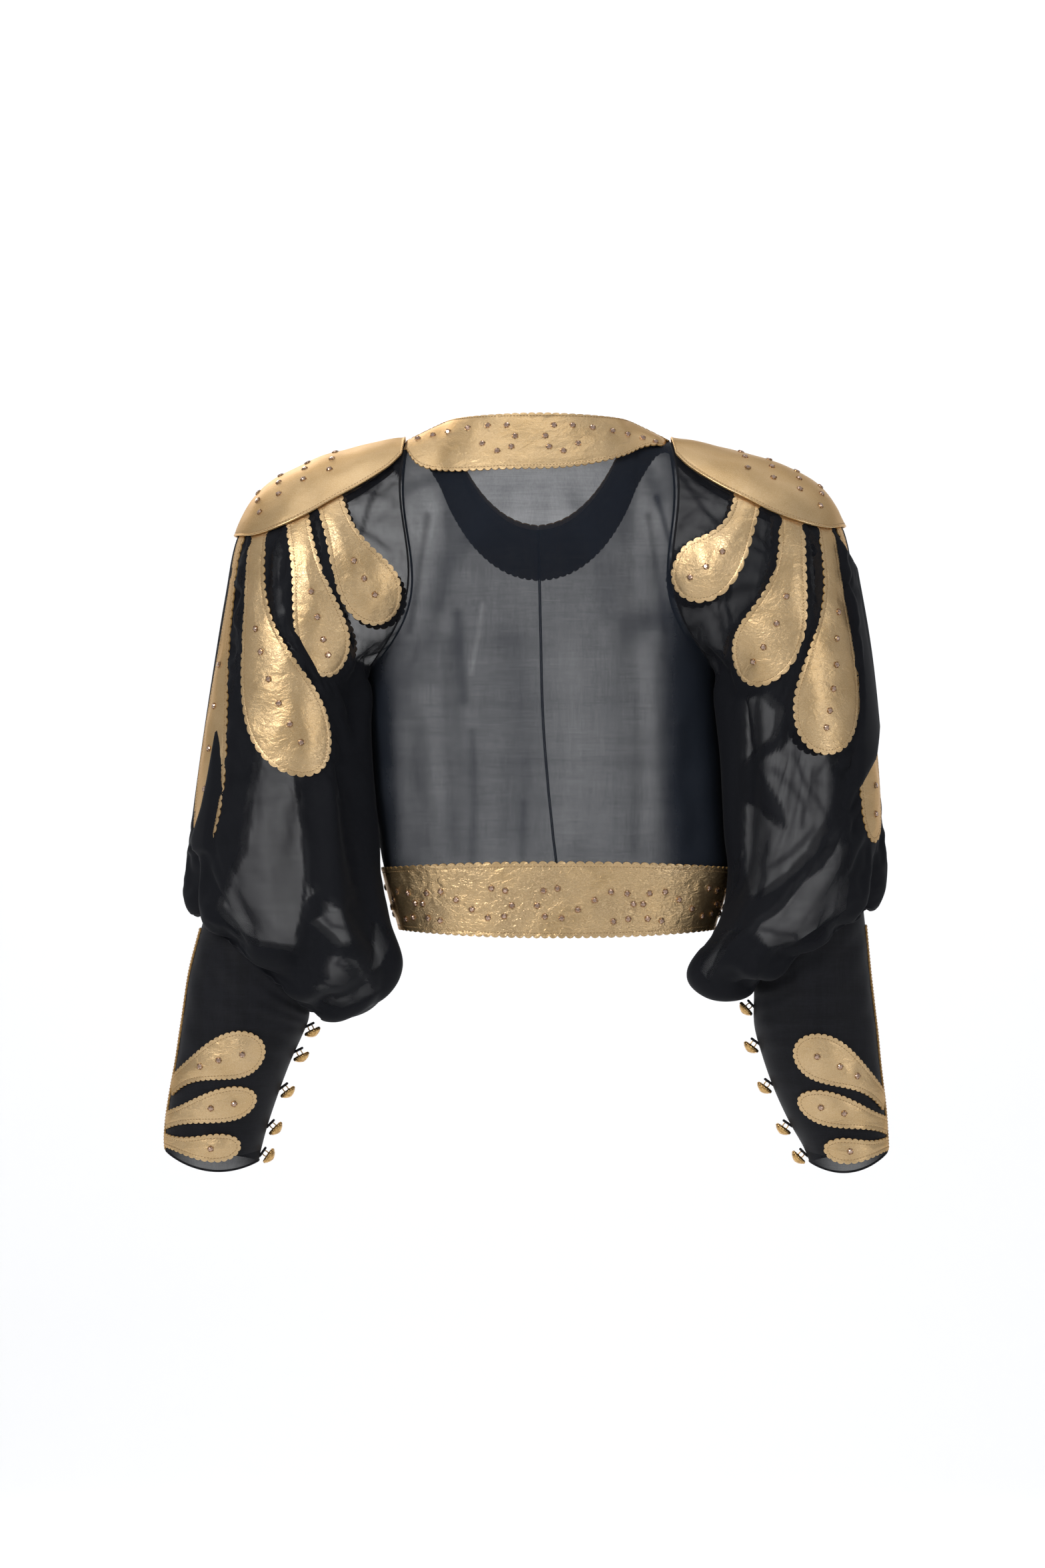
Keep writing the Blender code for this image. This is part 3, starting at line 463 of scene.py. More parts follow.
def span(tree, value, low, high, to_low, to_high):
    """Stretches a value from one range to another, and holds it there."""
    node = tree.nodes.new("ShaderNodeMapRange")
    labels = ("Value", "From Min", "From Max", "To Min", "To Max")
    for label, number in zip(labels, (value, low, high, to_low, to_high)):
        feed(tree, node.inputs[label], number)
    return node.outputs["Result"]


def noise(tree, place, scale, detail, rough=0.55, warp=0.0):
    """A Noise texture read at a place. Scale is a socket or a number, in waves for each metre."""
    node = tree.nodes.new("ShaderNodeTexNoise")
    labels = ("Vector", "Scale", "Detail", "Roughness", "Distortion")
    for label, value in zip(labels, (place, scale, detail, rough, warp)):
        feed(tree, node.inputs[label], value)
    return node.outputs["Fac"]


def blend_colours(tree, mask, first, second):
    """Mixes two colours, each a socket or plain numbers, by a mask."""
    node = tree.nodes.new("ShaderNodeMix")
    node.data_type = "RGBA"
    tree.links.new(mask, node.inputs["Factor"])
    for label, colour in (("A", first), ("B", second)):
        socket = [s for s in node.inputs if s.name == label and s.type == "RGBA"][0]
        feed(tree, socket, (*colour, 1) if isinstance(colour, tuple) else colour)
    return [s for s in node.outputs if s.type == "RGBA"][0]


def new_material(name, **numbers):
    """A material with a Principled shader. Its plain numbers are given by the sockets' names."""
    material = bpy.data.materials.new(name)
    material.use_nodes = True
    shader = material.node_tree.nodes["Principled BSDF"]
    for label, value in numbers.items():
        shader.inputs[label.replace("_", " ")].default_value = value
    return material, material.node_tree, shader


def add_bump(tree, shader, height, distance, strength=1.0):
    """Feeds a height into the shader's normal."""
    bump = tree.nodes.new("ShaderNodeBump")
    bump.inputs["Distance"].default_value = distance
    bump.inputs["Strength"].default_value = strength
    tree.links.new(height, bump.inputs["Height"])
    tree.links.new(bump.outputs["Normal"], shader.inputs["Normal"])


# %% Creases of foiled leather
SPECKLE_SCALE, CLOUD_SCALE, CRACK_SCALE = 1700.0, 24.0, 210.0


def build_crease_group():
    """Fine pebbled grain, soft wrinkles across the skin, and the lines where the foil is rubbed off."""
    group, given, result = node_group(
        "foil_creases",
        (("Grain Scale", 620.0), ("Wrinkle Scale", 60.0), ("Wrinkles", 0.5), ("Seed", 0.0)),
        ("Height", "Rubbed", "Cloudy", "Speckle"),
    )
    place = group.nodes.new("ShaderNodeTexCoord").outputs["Object"]
    shifted = vector_maths(group, "ADD", place, given.outputs["Seed"])
    squeezed = vector_maths(group, "MULTIPLY", shifted, (1.5, 1.0, 2.4))
    grain = noise(group, shifted, given.outputs["Grain Scale"], 4.0, 0.62)
    speckle = noise(group, shifted, SPECKLE_SCALE, 1.0, 0.5)
    cloudy = noise(group, shifted, CLOUD_SCALE, 3.0)
    soft = noise(group, squeezed, given.outputs["Wrinkle Scale"], 3.0, 0.5, 0.6)
    fine = noise(group, squeezed, CRACK_SCALE, 4.0, 0.6, 0.5)
    line = maths(group, "ABSOLUTE", maths(group, "SUBTRACT", fine, 0.5))
    where = span(group, cloudy, 0.40, 0.66, 0.0, 1.0)
    lines = maths(group, "MULTIPLY", span(group, line, 0.0, 0.045, 1.0, 0.0), where)
    lines = maths(group, "MULTIPLY", lines, given.outputs["Wrinkles"])
    height = maths(group, "ADD", maths(group, "MULTIPLY", grain, 0.35), maths(group, "MULTIPLY", soft, 1.6))
    height = maths(group, "SUBTRACT", height, maths(group, "MULTIPLY", lines, 0.22))
    for label, value in (("Height", height), ("Rubbed", lines), ("Cloudy", cloudy), ("Speckle", speckle)):
        group.links.new(value, result.inputs[label])
    return group


def build_yarn_group():
    """Thin cloth is never even: some yarns are thicker, both up and across, and the mesh shifts a little."""
    group, given, result = node_group(
        "uneven_yarns", (("Yarn Scale", 900.0), ("Band Scale", 60.0)), ("Density", "Height")
    )
    place = group.nodes.new("ShaderNodeTexCoord").outputs["Object"]
    bands = []
    for stretch in ((1.0, 1.0, 0.05), (0.05, 0.05, 1.0)):
        drawn_out = vector_maths(group, "MULTIPLY", place, stretch)
        bands.append(noise(group, drawn_out, given.outputs["Band Scale"], 5.0, 0.7))
        bands.append(noise(group, drawn_out, given.outputs["Yarn Scale"], 2.0, 0.6))
    wide = maths(group, "ADD", bands[0], bands[2])
    fine = maths(group, "ADD", bands[1], bands[3])
    density = maths(group, "ADD", maths(group, "MULTIPLY", wide, 0.6), maths(group, "MULTIPLY", fine, 0.4))
    group.links.new(maths(group, "SUBTRACT", density, 1.0), result.inputs["Density"])
    group.links.new(fine, result.inputs["Height"])
    return group


def build_tarnish_group():
    """Small cast metal pieces keep a dull film, clouded over their polish."""
    group, given, result = node_group("dull_film", (("Film Scale", 420.0),), ("Film",))
    place = group.nodes.new("ShaderNodeTexCoord").outputs["Object"]
    film = noise(group, place, given.outputs["Film Scale"], 4.0, 0.6)
    group.links.new(span(group, film, 0.38, 0.66, 0.0, 1.0), result.inputs["Film"])
    return group


creases, yarns, dull_film = build_crease_group(), build_yarn_group(), build_tarnish_group()


def place_group(tree, group, **values):
    """Puts a group in a material with its own values."""
    node = tree.nodes.new("ShaderNodeGroup")
    node.node_tree = group
    for label, value in values.items():
        node.inputs[label.replace("_", " ")].default_value = value
    return node


print("node groups:", len(bpy.data.node_groups))

# %% [markdown]
# ## Sheer cloth
#
# Chiffon is a net of fine black yarns. Light comes through the holes between them, so a slanted layer
# lets less through than one seen square on. The share that passes square on is raised to the power of
# one over the cosine, as for any thin film, which darkens the flanks of each fold.

# %% Cloth materials
def chiffon(name, passes, colour, uneven):
    """Sheer cloth. `passes` is the share of light that goes straight through one layer."""
    material, tree, shader = new_material(name, Base_Color=(*colour, 1), Roughness=0.78, Sheen_Weight=0.03,
                                          Sheen_Roughness=0.45, Specular_IOR_Level=0.14)
    group = place_group(tree, yarns)
    facing = tree.nodes.new("ShaderNodeLayerWeight")
    facing.inputs["Blend"].default_value = 0.5
    cosine = maths(tree, "MAXIMUM", maths(tree, "SUBTRACT", 1.0, facing.outputs["Facing"]), 0.09)
    square_on = maths(tree, "ADD", passes, maths(tree, "MULTIPLY", group.outputs["Density"], uneven))
    # The layers count holds real folded layers of cloth, and on the body panels also painted shade and
    # painted highlights
    layers = tree.nodes.new("ShaderNodeAttribute")
    layers.attribute_name = "layers"
    power = maths(tree, "DIVIDE", maths(tree, "MAXIMUM", layers.outputs["Fac"], 0.5), cosine)
    through = maths(tree, "POWER", maths(tree, "MAXIMUM", square_on, 0.02), power)
    tree.links.new(maths(tree, "SUBTRACT", 1.0, through), shader.inputs["Alpha"])
    add_bump(tree, shader, group.outputs["Height"], 0.00004, 0.6)
    return material


def dense_cloth(name, colour, rough):
    """Cloth in two close layers, or a seam with its turnings: no light comes through."""
    material, tree, shader = new_material(name, Roughness=rough, Specular_IOR_Level=0.18, Sheen_Weight=0.04)
    group = place_group(tree, yarns, Yarn_Scale=1300.0, Band_Scale=90.0)
    tone = blend_colours(tree, span(tree, group.outputs["Density"], -0.12, 0.12, 0.0, 1.0), colour,
                         tuple(1.7 * part for part in colour))
    tree.links.new(tone, shader.inputs["Base Color"])
    add_bump(tree, shader, group.outputs["Height"], 0.00008, 0.8)
    return material


body_chiffon = chiffon("body_chiffon", 0.335, (0.0110, 0.0150, 0.0235), 0.24)
sleeve_chiffon = chiffon("sleeve_chiffon", 0.275, (0.0060, 0.0066, 0.0092), 0.16)
seam_cloth = dense_cloth("seam_cloth", (0.0045, 0.0045, 0.006), 0.7)
lined_cloth = dense_cloth("lined_cloth", (0.0045, 0.0047, 0.0065), 0.62)
cord_black = dense_cloth("cord_black", (0.010, 0.009, 0.010), 0.5)

# %% [markdown]
# ## Foiled leather, thread, crystal and gilt metal
#
# Gold leather is soft skin with a film of metal foil pressed on it. It shines like metal where it is
# smooth, and turns paler and duller where wrinkles have cracked the foil. The cut edge shows the tan
# skin, and the underside is suede. Crystals have foil behind them, so they shine back like small mirrors.

# %% Leather and trim materials
def mask_blend(tree, mask, low, high, first, second, most=1.0):
    """Mixes two colours by a mask stretched between two of its values."""
    return blend_colours(tree, span(tree, mask, low, high, 0.0, most), first, second)


def gold_leather(name, wrinkle, wrinkles, depth, rough, seed):
    """Foiled skin: warm gold, a little paler in clouds, and tan where the foil is rubbed."""
    material, tree, shader = new_material(
        name, Metallic=0.88, Specular_IOR_Level=0.5, Specular_Tint=(0.86, 0.62, 0.36, 1.0), Coat_Weight=0.22,
        Coat_Roughness=0.24)
    masks = place_group(tree, creases, Wrinkle_Scale=wrinkle, Wrinkles=wrinkles, Seed=seed).outputs
    foil = mask_blend(tree, masks["Cloudy"], 0.35, 0.65, (0.640, 0.420, 0.195), (0.740, 0.515, 0.272))
    foil = mask_blend(tree, masks["Speckle"], 0.40, 0.72, foil, (0.86, 0.68, 0.42), 0.55)
    worn = mask_blend(tree, masks["Rubbed"], 0.2, 1.0, foil, (0.44, 0.28, 0.13), 0.6)
    tree.links.new(worn, shader.inputs["Base Color"])
    tree.links.new(span(tree, masks["Rubbed"], 0.0, 1.0, rough, rough + 0.2), shader.inputs["Roughness"])
    add_bump(tree, shader, masks["Height"], depth)
    return material


smooth_gold = gold_leather("smooth_gold", 36.0, 0.25, 0.00030, 0.44, 0.0)
petal_gold = gold_leather("petal_gold", 52.0, 0.6, 0.00062, 0.36, 3.1)
creased_gold = gold_leather("creased_gold", 80.0, 1.0, 0.00105, 0.31, 5.7)
piping_gold = gold_leather("piping_gold", 90.0, 0.2, 0.00020, 0.27, 8.2)


def two_tones(name, node_tree, scale, mask, tones, **numbers):
    """A material between two tones, mixed by one mask of a node group."""
    material, tree, shader = new_material(name, **numbers)
    masks = place_group(tree, node_tree, **scale).outputs
    tree.links.new(blend_colours(tree, masks[mask], *tones), shader.inputs["Base Color"])
    return material, tree, shader, masks


leather_edge, *_ = two_tones("leather_edge", creases, {"Grain_Scale": 1500.0}, "Cloudy",
                             ((0.36, 0.19, 0.05), (0.50, 0.30, 0.10)), Roughness=0.75)
leather_suede, tree, shader, masks = two_tones(
    "leather_suede", creases, {"Grain_Scale": 1800.0}, "Cloudy", ((0.52, 0.37, 0.22), (0.66, 0.50, 0.33)),
    Roughness=0.92, Sheen_Weight=0.3)
add_bump(tree, shader, masks["Height"], 0.0002)
gold_thread, *_ = two_tones("gold_thread", dull_film, {"Film_Scale": 900.0}, "Film",
                            ((0.33, 0.20, 0.085), (0.50, 0.34, 0.16)), Roughness=0.55, Specular_IOR_Level=0.5)


def bright_metal(name, polished, dulled, rough, **numbers):
    """Polished metal with a clouded film over it."""
    material, tree, shader, masks = two_tones(name, dull_film, {}, "Film", (polished, dulled), **numbers)
    tree.links.new(span(tree, masks["Film"], 0.0, 1.0, rough, rough + 0.16), shader.inputs["Roughness"])
    return material


gilt_metal = bright_metal("gilt_metal", (0.78, 0.50, 0.20), (0.42, 0.24, 0.085), 0.20, Metallic=1.0)
claw_metal = bright_metal("claw_metal", (0.50, 0.31, 0.15), (0.26, 0.15, 0.07), 0.26, Metallic=1.0)
crystal_foil = bright_metal("crystal_foil", (0.72, 0.50, 0.38), (0.42, 0.26, 0.18), 0.04, Metallic=0.80,
                            Coat_Weight=0.9, Coat_Roughness=0.03)
print("materials:", len(bpy.data.materials))

# %% [markdown]
# ## The form of the folds and petals
#
# Gathers run round the full sleeve and fade under each petal, where the leather presses the cloth flat.
# The main folds are listed one by one: each is a soft trough with a start, an end, a depth and a width.

# %% Tables of folds and petals
GATHERS, SHOULDER_GATHER, ELBOW_GATHER = 9, 3.6, 4.6
SHOULDER_RISE, SHOULDER_FALL, ELBOW_RISE = (0.5, 2.4), (5.5, 9), (8.4, 10.4)
SLEEVE_FOLDS = {
    "left": (
        (3.0, 118, 8.6, 142, 7, 12), (5.2, 96, 9.6, 104, 6, 13), (8.2, 128, 10.4, 168, 6, 10),
        (9.3, 70, 10.6, 132, 5, 10), (5.0, 28, 9.6, 22, 5, 12), (3.0, -112, 8.6, -138, 6, 13),
        (5.0, -62, 10.2, -118, 6, 13), (9.0, -40, 10.6, -96, 5, 10),
    ),
    "right": (
        (3.0, 120, 7.4, 146, 7, 12), (6.2, 34, 9.8, 128, 6, 11), (5.6, 98, 8.2, 70, 4, 10),
        (9.8, 70, 10.8, 140, 5, 10), (7.0, 84, 8.6, 104, 4, 10), (3.0, -112, 8.6, -138, 6, 13),
        (5.4, -40, 10.0, -124, 6, 12), (9.2, -50, 10.6, -110, 5, 10),
    ),
}
BODY_FOLDS = {
    "back": (
        (96, -34, 98, -150, 4, 10), (-96, -34, -100, -150, 4, 10), (50, -105, 62, -300, 2.5, 14),
        (-4, -130, -20, -330, 2, 16), (-78, -120, -96, -350, 3, 14), (112, -250, 104, -350, 4, 13),
        (-128, -250, -136, -350, 4, 12),
    ),
    "front": (
        (92, -60, 98, -160, 4, 11), (-92, -60, -98, -160, 4, 11), (60, -210, 66, -350, 3, 15),
        (-74, -210, -86, -350, 3, 15), (110, -240, 104, -350, 4, 13), (-120, -240, -130, -350, 4, 13),
    ),
}
COLLAR_COVER = {"back": (0.30, 0.125), "front": (0.39, 0.125)}
COLLAR_FULL = 3.6
PLATE_ROWS = (
    (0.07, 31), (0.4, 40), (0.9, 47), (1.5, 51), (2.1, 53), (2.7, 51), (3.2, 45), (3.6, 35), (3.85, 22),
    (3.97, 10),
)
BELT_TOP, BELT_LOW, BELT_RISE, BELT_DIP = -366, -415, 6, 6
HANGING_PETALS = {
    "left": (
        ("1", 180, -42, 163, -106, 125, -151, 20, 50), ("2", 206, -57, 191, -140, 174, -200, 18, 42),
        ("3", 234, -68, 256, -190, 184, -280, 20, 66),
    ),
    "right": (
        ("1", 178, -42, 172, -101, 116, -125, 20, 50), ("2", 212, -56, 222, -148, 172, -202, 20, 52),
        ("3", 240, -64, 262, -164, 237, -266, 20, 64),
    ),
}
RING_PETALS = {
    "sleeve": {
        "left": (("4", 3.75, 19, 8.4, 33, 14, 50),),
        "right": (("4", 3.75, 19, 8.7, 29, 14, 50),),
    },
    "forearm": {
        "left": (
            ("1", 4.5, 15, 2.85, 120, 14, 38), ("2", 5.5, 14, 4.3, 128, 12, 28),
            ("3", 6.3, 12, 5.8, 122, 9, 22),
        ),
        "right": (
            ("1", 4.9, 16, 2.95, 116, 14, 38), ("2", 5.7, 14, 4.4, 130, 12, 28),
            ("3", 6.45, 12, 5.9, 118, 9, 20),
        ),
    },
}
SEARCHES, SEARCH_STEPS, SEARCH_NARROWS = 4, 40, 20
STATIONS = np.linspace(0, 1, 25)
WIDEST_AT = 0.77

# %% Folds, petals and rows of the body
def find_on_sleeve(side, x, z, facing):
    """The ring number and the angle that show at a place as seen from behind or from before."""
    last = last_ring("sleeve", side)
    ring_low, ring_high, angle_low, angle_high = 0.0, last, 0.0, math.pi
    for _ in range(SEARCHES):
        rings = np.linspace(ring_low, ring_high, SEARCH_STEPS + 1)
        angles = np.linspace(angle_low, angle_high, SEARCH_STEPS + 1)
        ring, angle = np.meshgrid(rings, angles)
        place = limb_point("sleeve", side, ring, angle * facing)
        best = np.argmin((place[..., 0] - x) ** 2 + (place[..., 2] - z) ** 2)
        ring_span, angle_span = ring_high - ring_low, angle_high - angle_low
        ring, angle = ring.flat[best], angle.flat[best]
        ring_low = max(ring - ring_span / SEARCH_NARROWS, 0)
        ring_high = min(ring + ring_span / SEARCH_NARROWS, last)
        angle_low = max(angle - angle_span / SEARCH_NARROWS, 0)
        angle_high = min(angle + angle_span / SEARCH_NARROWS, math.pi)
    return ring, angle * facing


def petal_half_width(share, root, widest, blunt=0.0):
    """Half width of a petal at a share of its length: a slim root that swells to a round end."""
    swell = root + (widest - root) * step(0.1, WIDEST_AT, share) ** 1.5
    past = np.clip((share - WIDEST_AT) / (1 - WIDEST_AT), 0, 1)
    return swell / 2 * np.sqrt(np.maximum(1 - past**2, blunt))


def petals_of(limb, side):
    """Name, middle line (ring numbers and angles at the stations), root width and greatest width of
    each petal, for the back and again for the hidden front."""
    found = []
    for face, facing in FACES.items():
        if limb == "sleeve":
            for name, x_1, z_1, pull_x, pull_z, x_2, z_2, root, widest in HANGING_PETALS[side]:
                before, middle, after = (1 - STATIONS) ** 2, 2 * STATIONS * (1 - STATIONS), STATIONS**2
                xs = x_1 * before + pull_x * middle + x_2 * after
                zs = z_1 * before + pull_z * middle + z_2 * after
                line = np.array([find_on_sleeve(side, x, z, facing) for x, z in zip(xs, zs)])
                found.append((f"{face}_{name}", line[:, 0], line[:, 1], root, widest))
        for name, ring_1, angle_1, ring_2, angle_2, root, widest in RING_PETALS[limb][side]:
            ring = ring_1 + (ring_2 - ring_1) * STATIONS
            angle = np.radians(angle_1 + (angle_2 - angle_1) * STATIONS) * facing
            found.append((f"{face}_{name}", ring, angle, root, widest))
    return found


PETALS = {(limb, side): petals_of(limb, side) for limb in LIMBS for side in SIDES}


def near_line(points, line, width):
    """1 on a line of points, falling smoothly to 0 past its width."""
    gap = np.linalg.norm(points[..., None, :] - line, axis=-1)
    return np.exp(-((gap / width) ** 2)).max(axis=-1)


def under_petals(side, points, margin=9):
    """1 where a petal lies on the sleeve, where the gathers are pressed flat."""
    cover = np.zeros(points.shape[:-1])
    for _, ring, angle, root, widest in PETALS["sleeve", side]:
        line = limb_point("sleeve", side, ring, angle)
        half = petal_half_width(STATIONS, root, widest, 0.03)
        gap = np.linalg.norm(points[..., None, :] - line, axis=-1) - half
        cover = np.maximum(cover, 1 - step(0, margin, gap.min(axis=-1)))
    return cover


def sleeve_grid(side, ring, angle):
    """Points of the upper sleeve with its gathers and folds, on the wearer's left."""
    last = last_ring("sleeve", side)
    base = limb_point("sleeve", side, ring, angle)
    plate_rings, plate_angles = np.array(PLATE_ROWS, float).T
    covered = np.radians(np.interp(ring, plate_rings, plate_angles, right=0))
    shoulder = step(*SHOULDER_RISE, ring) * (1 - step(*SHOULDER_FALL, ring)) * SHOULDER_GATHER
    elbow = step(*ELBOW_RISE, ring) * (1 - step(10.8, last - 0.1, ring)) * ELBOW_GATHER
    free = step(0, math.radians(16), np.abs(angle) - covered)
    pressed = step(2.3, 2.8, np.abs(angle)) * (1 - step(9, 10, ring))
    open_cloth = 1 - under_petals(side, base)
    waves = np.cos(GATHERS * angle + 0.22 * np.sin(0.9 * ring + 2 * angle))
    waves = waves * (1 + 0.35 * np.sin(3 * angle + 1)) * (1 - 0.85 * pressed)
    height = waves * (shoulder * free * open_cloth + elbow)
    share = np.linspace(0, 1, 15)
    for ring_1, angle_1, ring_2, angle_2, depth, width in SLEEVE_FOLDS[side]:
        line = limb_point("sleeve", side, ring_1 + (ring_2 - ring_1) * share,
                          np.radians(angle_1 + (angle_2 - angle_1) * share))
        height = height - depth * near_line(base, line, width) * open_cloth
    fade = step(0, 0.8, ring) * (1 - step(last - 0.6, last, ring))
    return base + limb_normal("sleeve", side, ring, angle) * (height * fade)[..., None]


def body_row(left, right, middle_y, middle_z, columns, roundness):
    """One row of the body from the right edge to the left one, bulging through the middle."""
    reach = np.clip(abs(left[1] / middle_y), 0, 1)
    turn = math.acos(reach ** (1 / roundness))
    sine = np.abs(np.sin(columns))
    across = np.sign(columns) * sine**roundness
    swing = np.arcsin(sine * math.sin(turn))
    row = right + (left - right) * (1 + across)[:, None] / 2
    row[:, 1] = middle_y * np.cos(swing) ** roundness
    row[:, 2] += (middle_z - row[:, 2]) * np.cos(columns) ** 2
    return row


def lower_body_point(face, z, columns):
    """Points of the body below the armholes. The heights may differ from column to column."""
    rows = np.array(BODY_ROWS, float)
    at = np.interp(-z, -rows[:, 0], np.arange(len(rows)))
    _, shift, half, back, front = np.moveaxis(read_rows(rows, at), -1, 0)
    deep = back if face == "back" else -front
    across = np.sign(columns) * np.abs(np.sin(columns)) ** SIDE_ROUNDNESS
    y = deep * np.abs(np.cos(columns)) ** SIDE_ROUNDNESS
    y = np.where(np.abs(columns) > math.pi / 2 - 1e-4, 0, y)
    return np.stack([shift + half * across, y, np.broadcast_to(z, y.shape)], axis=-1)


def neck_row(columns, face):
    """The top edge: along the shoulder seam to the neck, and round the neck."""
    depth, height = NECK_DEPTH[face]
    turn = np.clip(columns / NECK_ANGLE, -1, 1) * math.pi / 2
    seam = np.clip((np.abs(columns) - NECK_ANGLE) / (math.pi / 2 - NECK_ANGLE), 0, 1)
    tip = limb_point("sleeve", "left", 0, 0)
    x = np.sign(columns) * (np.abs(np.sin(turn)) * NECK_HALF_WIDTH + seam * (tip[0] - NECK_HALF_WIDTH))
    y = depth * np.cos(turn) * (seam == 0)
    drop = np.cos(turn) ** (1.4 if face == "front" else 2)
    z = NECK_SIDE_Z + (height - NECK_SIDE_Z) * drop + seam * (tip[2] - NECK_SIDE_Z)
    return np.stack([x, y, z], axis=-1)


def upper_rows(face, columns, shares):
    """Rows of the body between the underarm, share 0, and the neck, share 1."""
    facing = FACES[face]
    heights, depths = np.array(BACK_PROFILE if face == "back" else FRONT_PROFILE, float).T
    top_z = limb_point("sleeve", "left", 0, 0)[2]

    def row(share):
        turn = facing * math.pi * (1 - share)
        left = limb_point("sleeve", "left", 0, turn)
        right = mirrored(limb_point("sleeve", "right", 0, turn), "right")
        risen = (left[2] - UNDERARM_Z) / (top_z - UNDERARM_Z)
        middle_z = UNDERARM_Z + (NECK_DEPTH[face][1] - UNDERARM_Z) * risen
        middle_y = facing * np.interp(middle_z, heights, depths)
        roundness = SIDE_ROUNDNESS + (1 - SIDE_ROUNDNESS) * share
        return body_row(left, right, middle_y, middle_z, columns, roundness)

    correction = neck_row(columns, face) - row(1.0)
    return np.array([row(share) + correction * share**3 for share in shares])


print("petals:", sum(len(found) for found in PETALS.values()))

# %% [markdown]
# ## The body of the jacket
#
# The back is one panel from side seam to side seam, and the fronts meet edge to edge. Each is one thin
# layer of chiffon, so the white behind shows through, and shows less where two layers overlap.

# %% Body panels
BACK_COLUMNS, ROW_GAP = 96, 4.2
FRONT_GAP = 0.06
BODY_MIDDLE = -8
UNDER_COLLAR = 2.2
FOLD_WANDER, UNEVEN = 2.5, 0.5
PLAIN_LAYERS = {"back": 1.10, "front": 0.92}
# Painted shade: layers added towards each side seam darken the flanks of the body
FLANK_SHADE_LAYERS = {"left": 0.9, "right": 1.2}
SHOULDER_LAYERS, NECK_LEFT, NECK_RIGHT = 0.26, 0.58, 0.45
LIGHT_FOLDS = {
    "back": (
        (30, -92, 34, -200, 0.9, 7), (-34, -92, -46, -214, 1.0, 7), (78, -62, 88, -140, 1.2, 6),
        (-76, -62, -84, -150, 1.2, 6), (104, -70, 106, -185, 1.5, 4), (-104, -70, -108, -185, 1.5, 4),
        (84, -210, 76, -352, 1.2, 7), (-50, -230, -58, -356, 1.1, 7), (18, -260, 10, -358, 1.0, 7),
        (132, -236, 124, -350, 1.4, 6), (-108, -240, -112, -356, 1.3, 7), (64, -300, 60, -360, 0.9, 4),
        (-24, -310, -26, -360, 0.8, 4), (-84, -318, -82, -360, 0.9, 4), (36, -322, 36, -360, 0.8, 4),
    ),
    "front": (
        (74, -110, 80, -190, 1.2, 7), (-76, -110, -82, -190, 1.2, 7), (40, -240, 44, -356, 1.1, 8),
        (-46, -240, -50, -356, 1.1, 8), (88, -230, 80, -352, 1.3, 7), (-98, -230, -104, -354, 1.3, 7),
        (22, -300, 22, -360, 0.8, 5), (-24, -300, -24, -360, 0.8, 5),
    ),
}
# Painted shade along the body's folds, and painted highlights along its ridges where the strength is below 0:
# strength in layers, width, and the points of each line
BODY_SHADE_AND_HIGHLIGHT_LINES = {
    "back": (
        (0.90, 2.2, ((-100, -50), (-105, -66), (-109, -82), (-113, -96))),
        (0.49, 6.0, ((-94, -28), (-101, -52))),
        (0.42, 6.0, ((46, -24), (72, -28), (96, -35), (110, -44))),
        (0.39, 9.0, ((46, -68), (62, -90), (76, -109), (88, -141))),
        (-0.20, 10.0, ((101, -50), (97, -100), (84, -156))),
        (0.59, 4.5, ((68, -150), (66, -190), (63, -222))),
        (-0.34, 2.4, ((47, -142), (50, -165), (57, -200))),
        (0.50, 11.0, ((-116, -136), (-100, -152), (-78, -160))),
        (0.60, 12.0, ((-116, -154), (-121, -220), (-123, -300), (-125, -358))),
        (-0.21, 10.0, ((-88, -176), (-91, -240), (-92, -330))),
        (0.42, 4.0, ((56, -250), (54, -310), (56, -359))),
        (0.35, 3.0, ((13, -310), (14, -359))),
        (0.35, 14.0, ((24, -170), (14, -250), (18, -330))),
        (0.49, 9.0, ((132, -215), (129, -280), (132, -358))),
        (-0.22, 12.0, ((96, -220), (92, -280), (94, -340))),
        (0.31, 8.0, ((-30, -50), (-52, -100), (-58, -150))),
        (-0.17, 14.0, ((-26, -180), (-34, -260), (-30, -330))),
    ),
    "front": (
        (0.45, 3.0, ((-96, -60), (-104, -110), (-112, -160))),
        (0.45, 3.0, ((96, -60), (104, -110), (112, -160))),
        (0.25, 8.0, ((-80, -170), (-88, -260), (-84, -350))),
        (0.25, 8.0, ((76, -170), (70, -260), (74, -350))),
    ),
}


def from_segments(flat, corners, closed):
    """The distance from each place to the nearest of a row of straight edges."""
    corners = np.array(corners, float)
    ends = np.roll(corners, -1, axis=0) if closed else corners[1:]
    nearest = np.full(len(flat), np.inf)
    for start, end in zip(corners, ends):
        way = end - start
        share = np.clip((flat - start) @ way / (way @ way), 0, 1)
        nearest = np.minimum(nearest, np.linalg.norm(flat - start - share[:, None] * way, axis=1))
    return nearest


def along_crease_and_shade_lines(flat, rows):
    """Layers of cloth added along lines, each with its strength and its width: creases on the sleeves, and on
    the body painted shade along its folds and painted highlights along its ridges where the strength is below
    0.
    """
    return sum(strength * np.exp(-((from_segments(flat, line, closed=False) / width) ** 2))
               for strength, width, line in rows)


def body_columns():
    """The columns of the back and of each front, in angle from the middle, towards +X."""
    half = np.linspace(0, math.pi / 2, BACK_COLUMNS // 2 + 1)
    return (
        ("back_panel", "back", np.concatenate([-half[:0:-1], half])),
        ("front_left", "front", half),
        ("front_right", "front", -half[::-1]),
    )


def close_front(grid, face):
    """Draws the fronts back from the middle by a gap, and less and less over the next 30 mm."""
    if face == "back":
        return grid
    near = 1 - step(0, 30, np.abs(grid[..., 0]))
    side = np.sign(grid[..., 0].mean())
    return grid + (side * FRONT_GAP * near)[..., None] * (1, 0, 0)


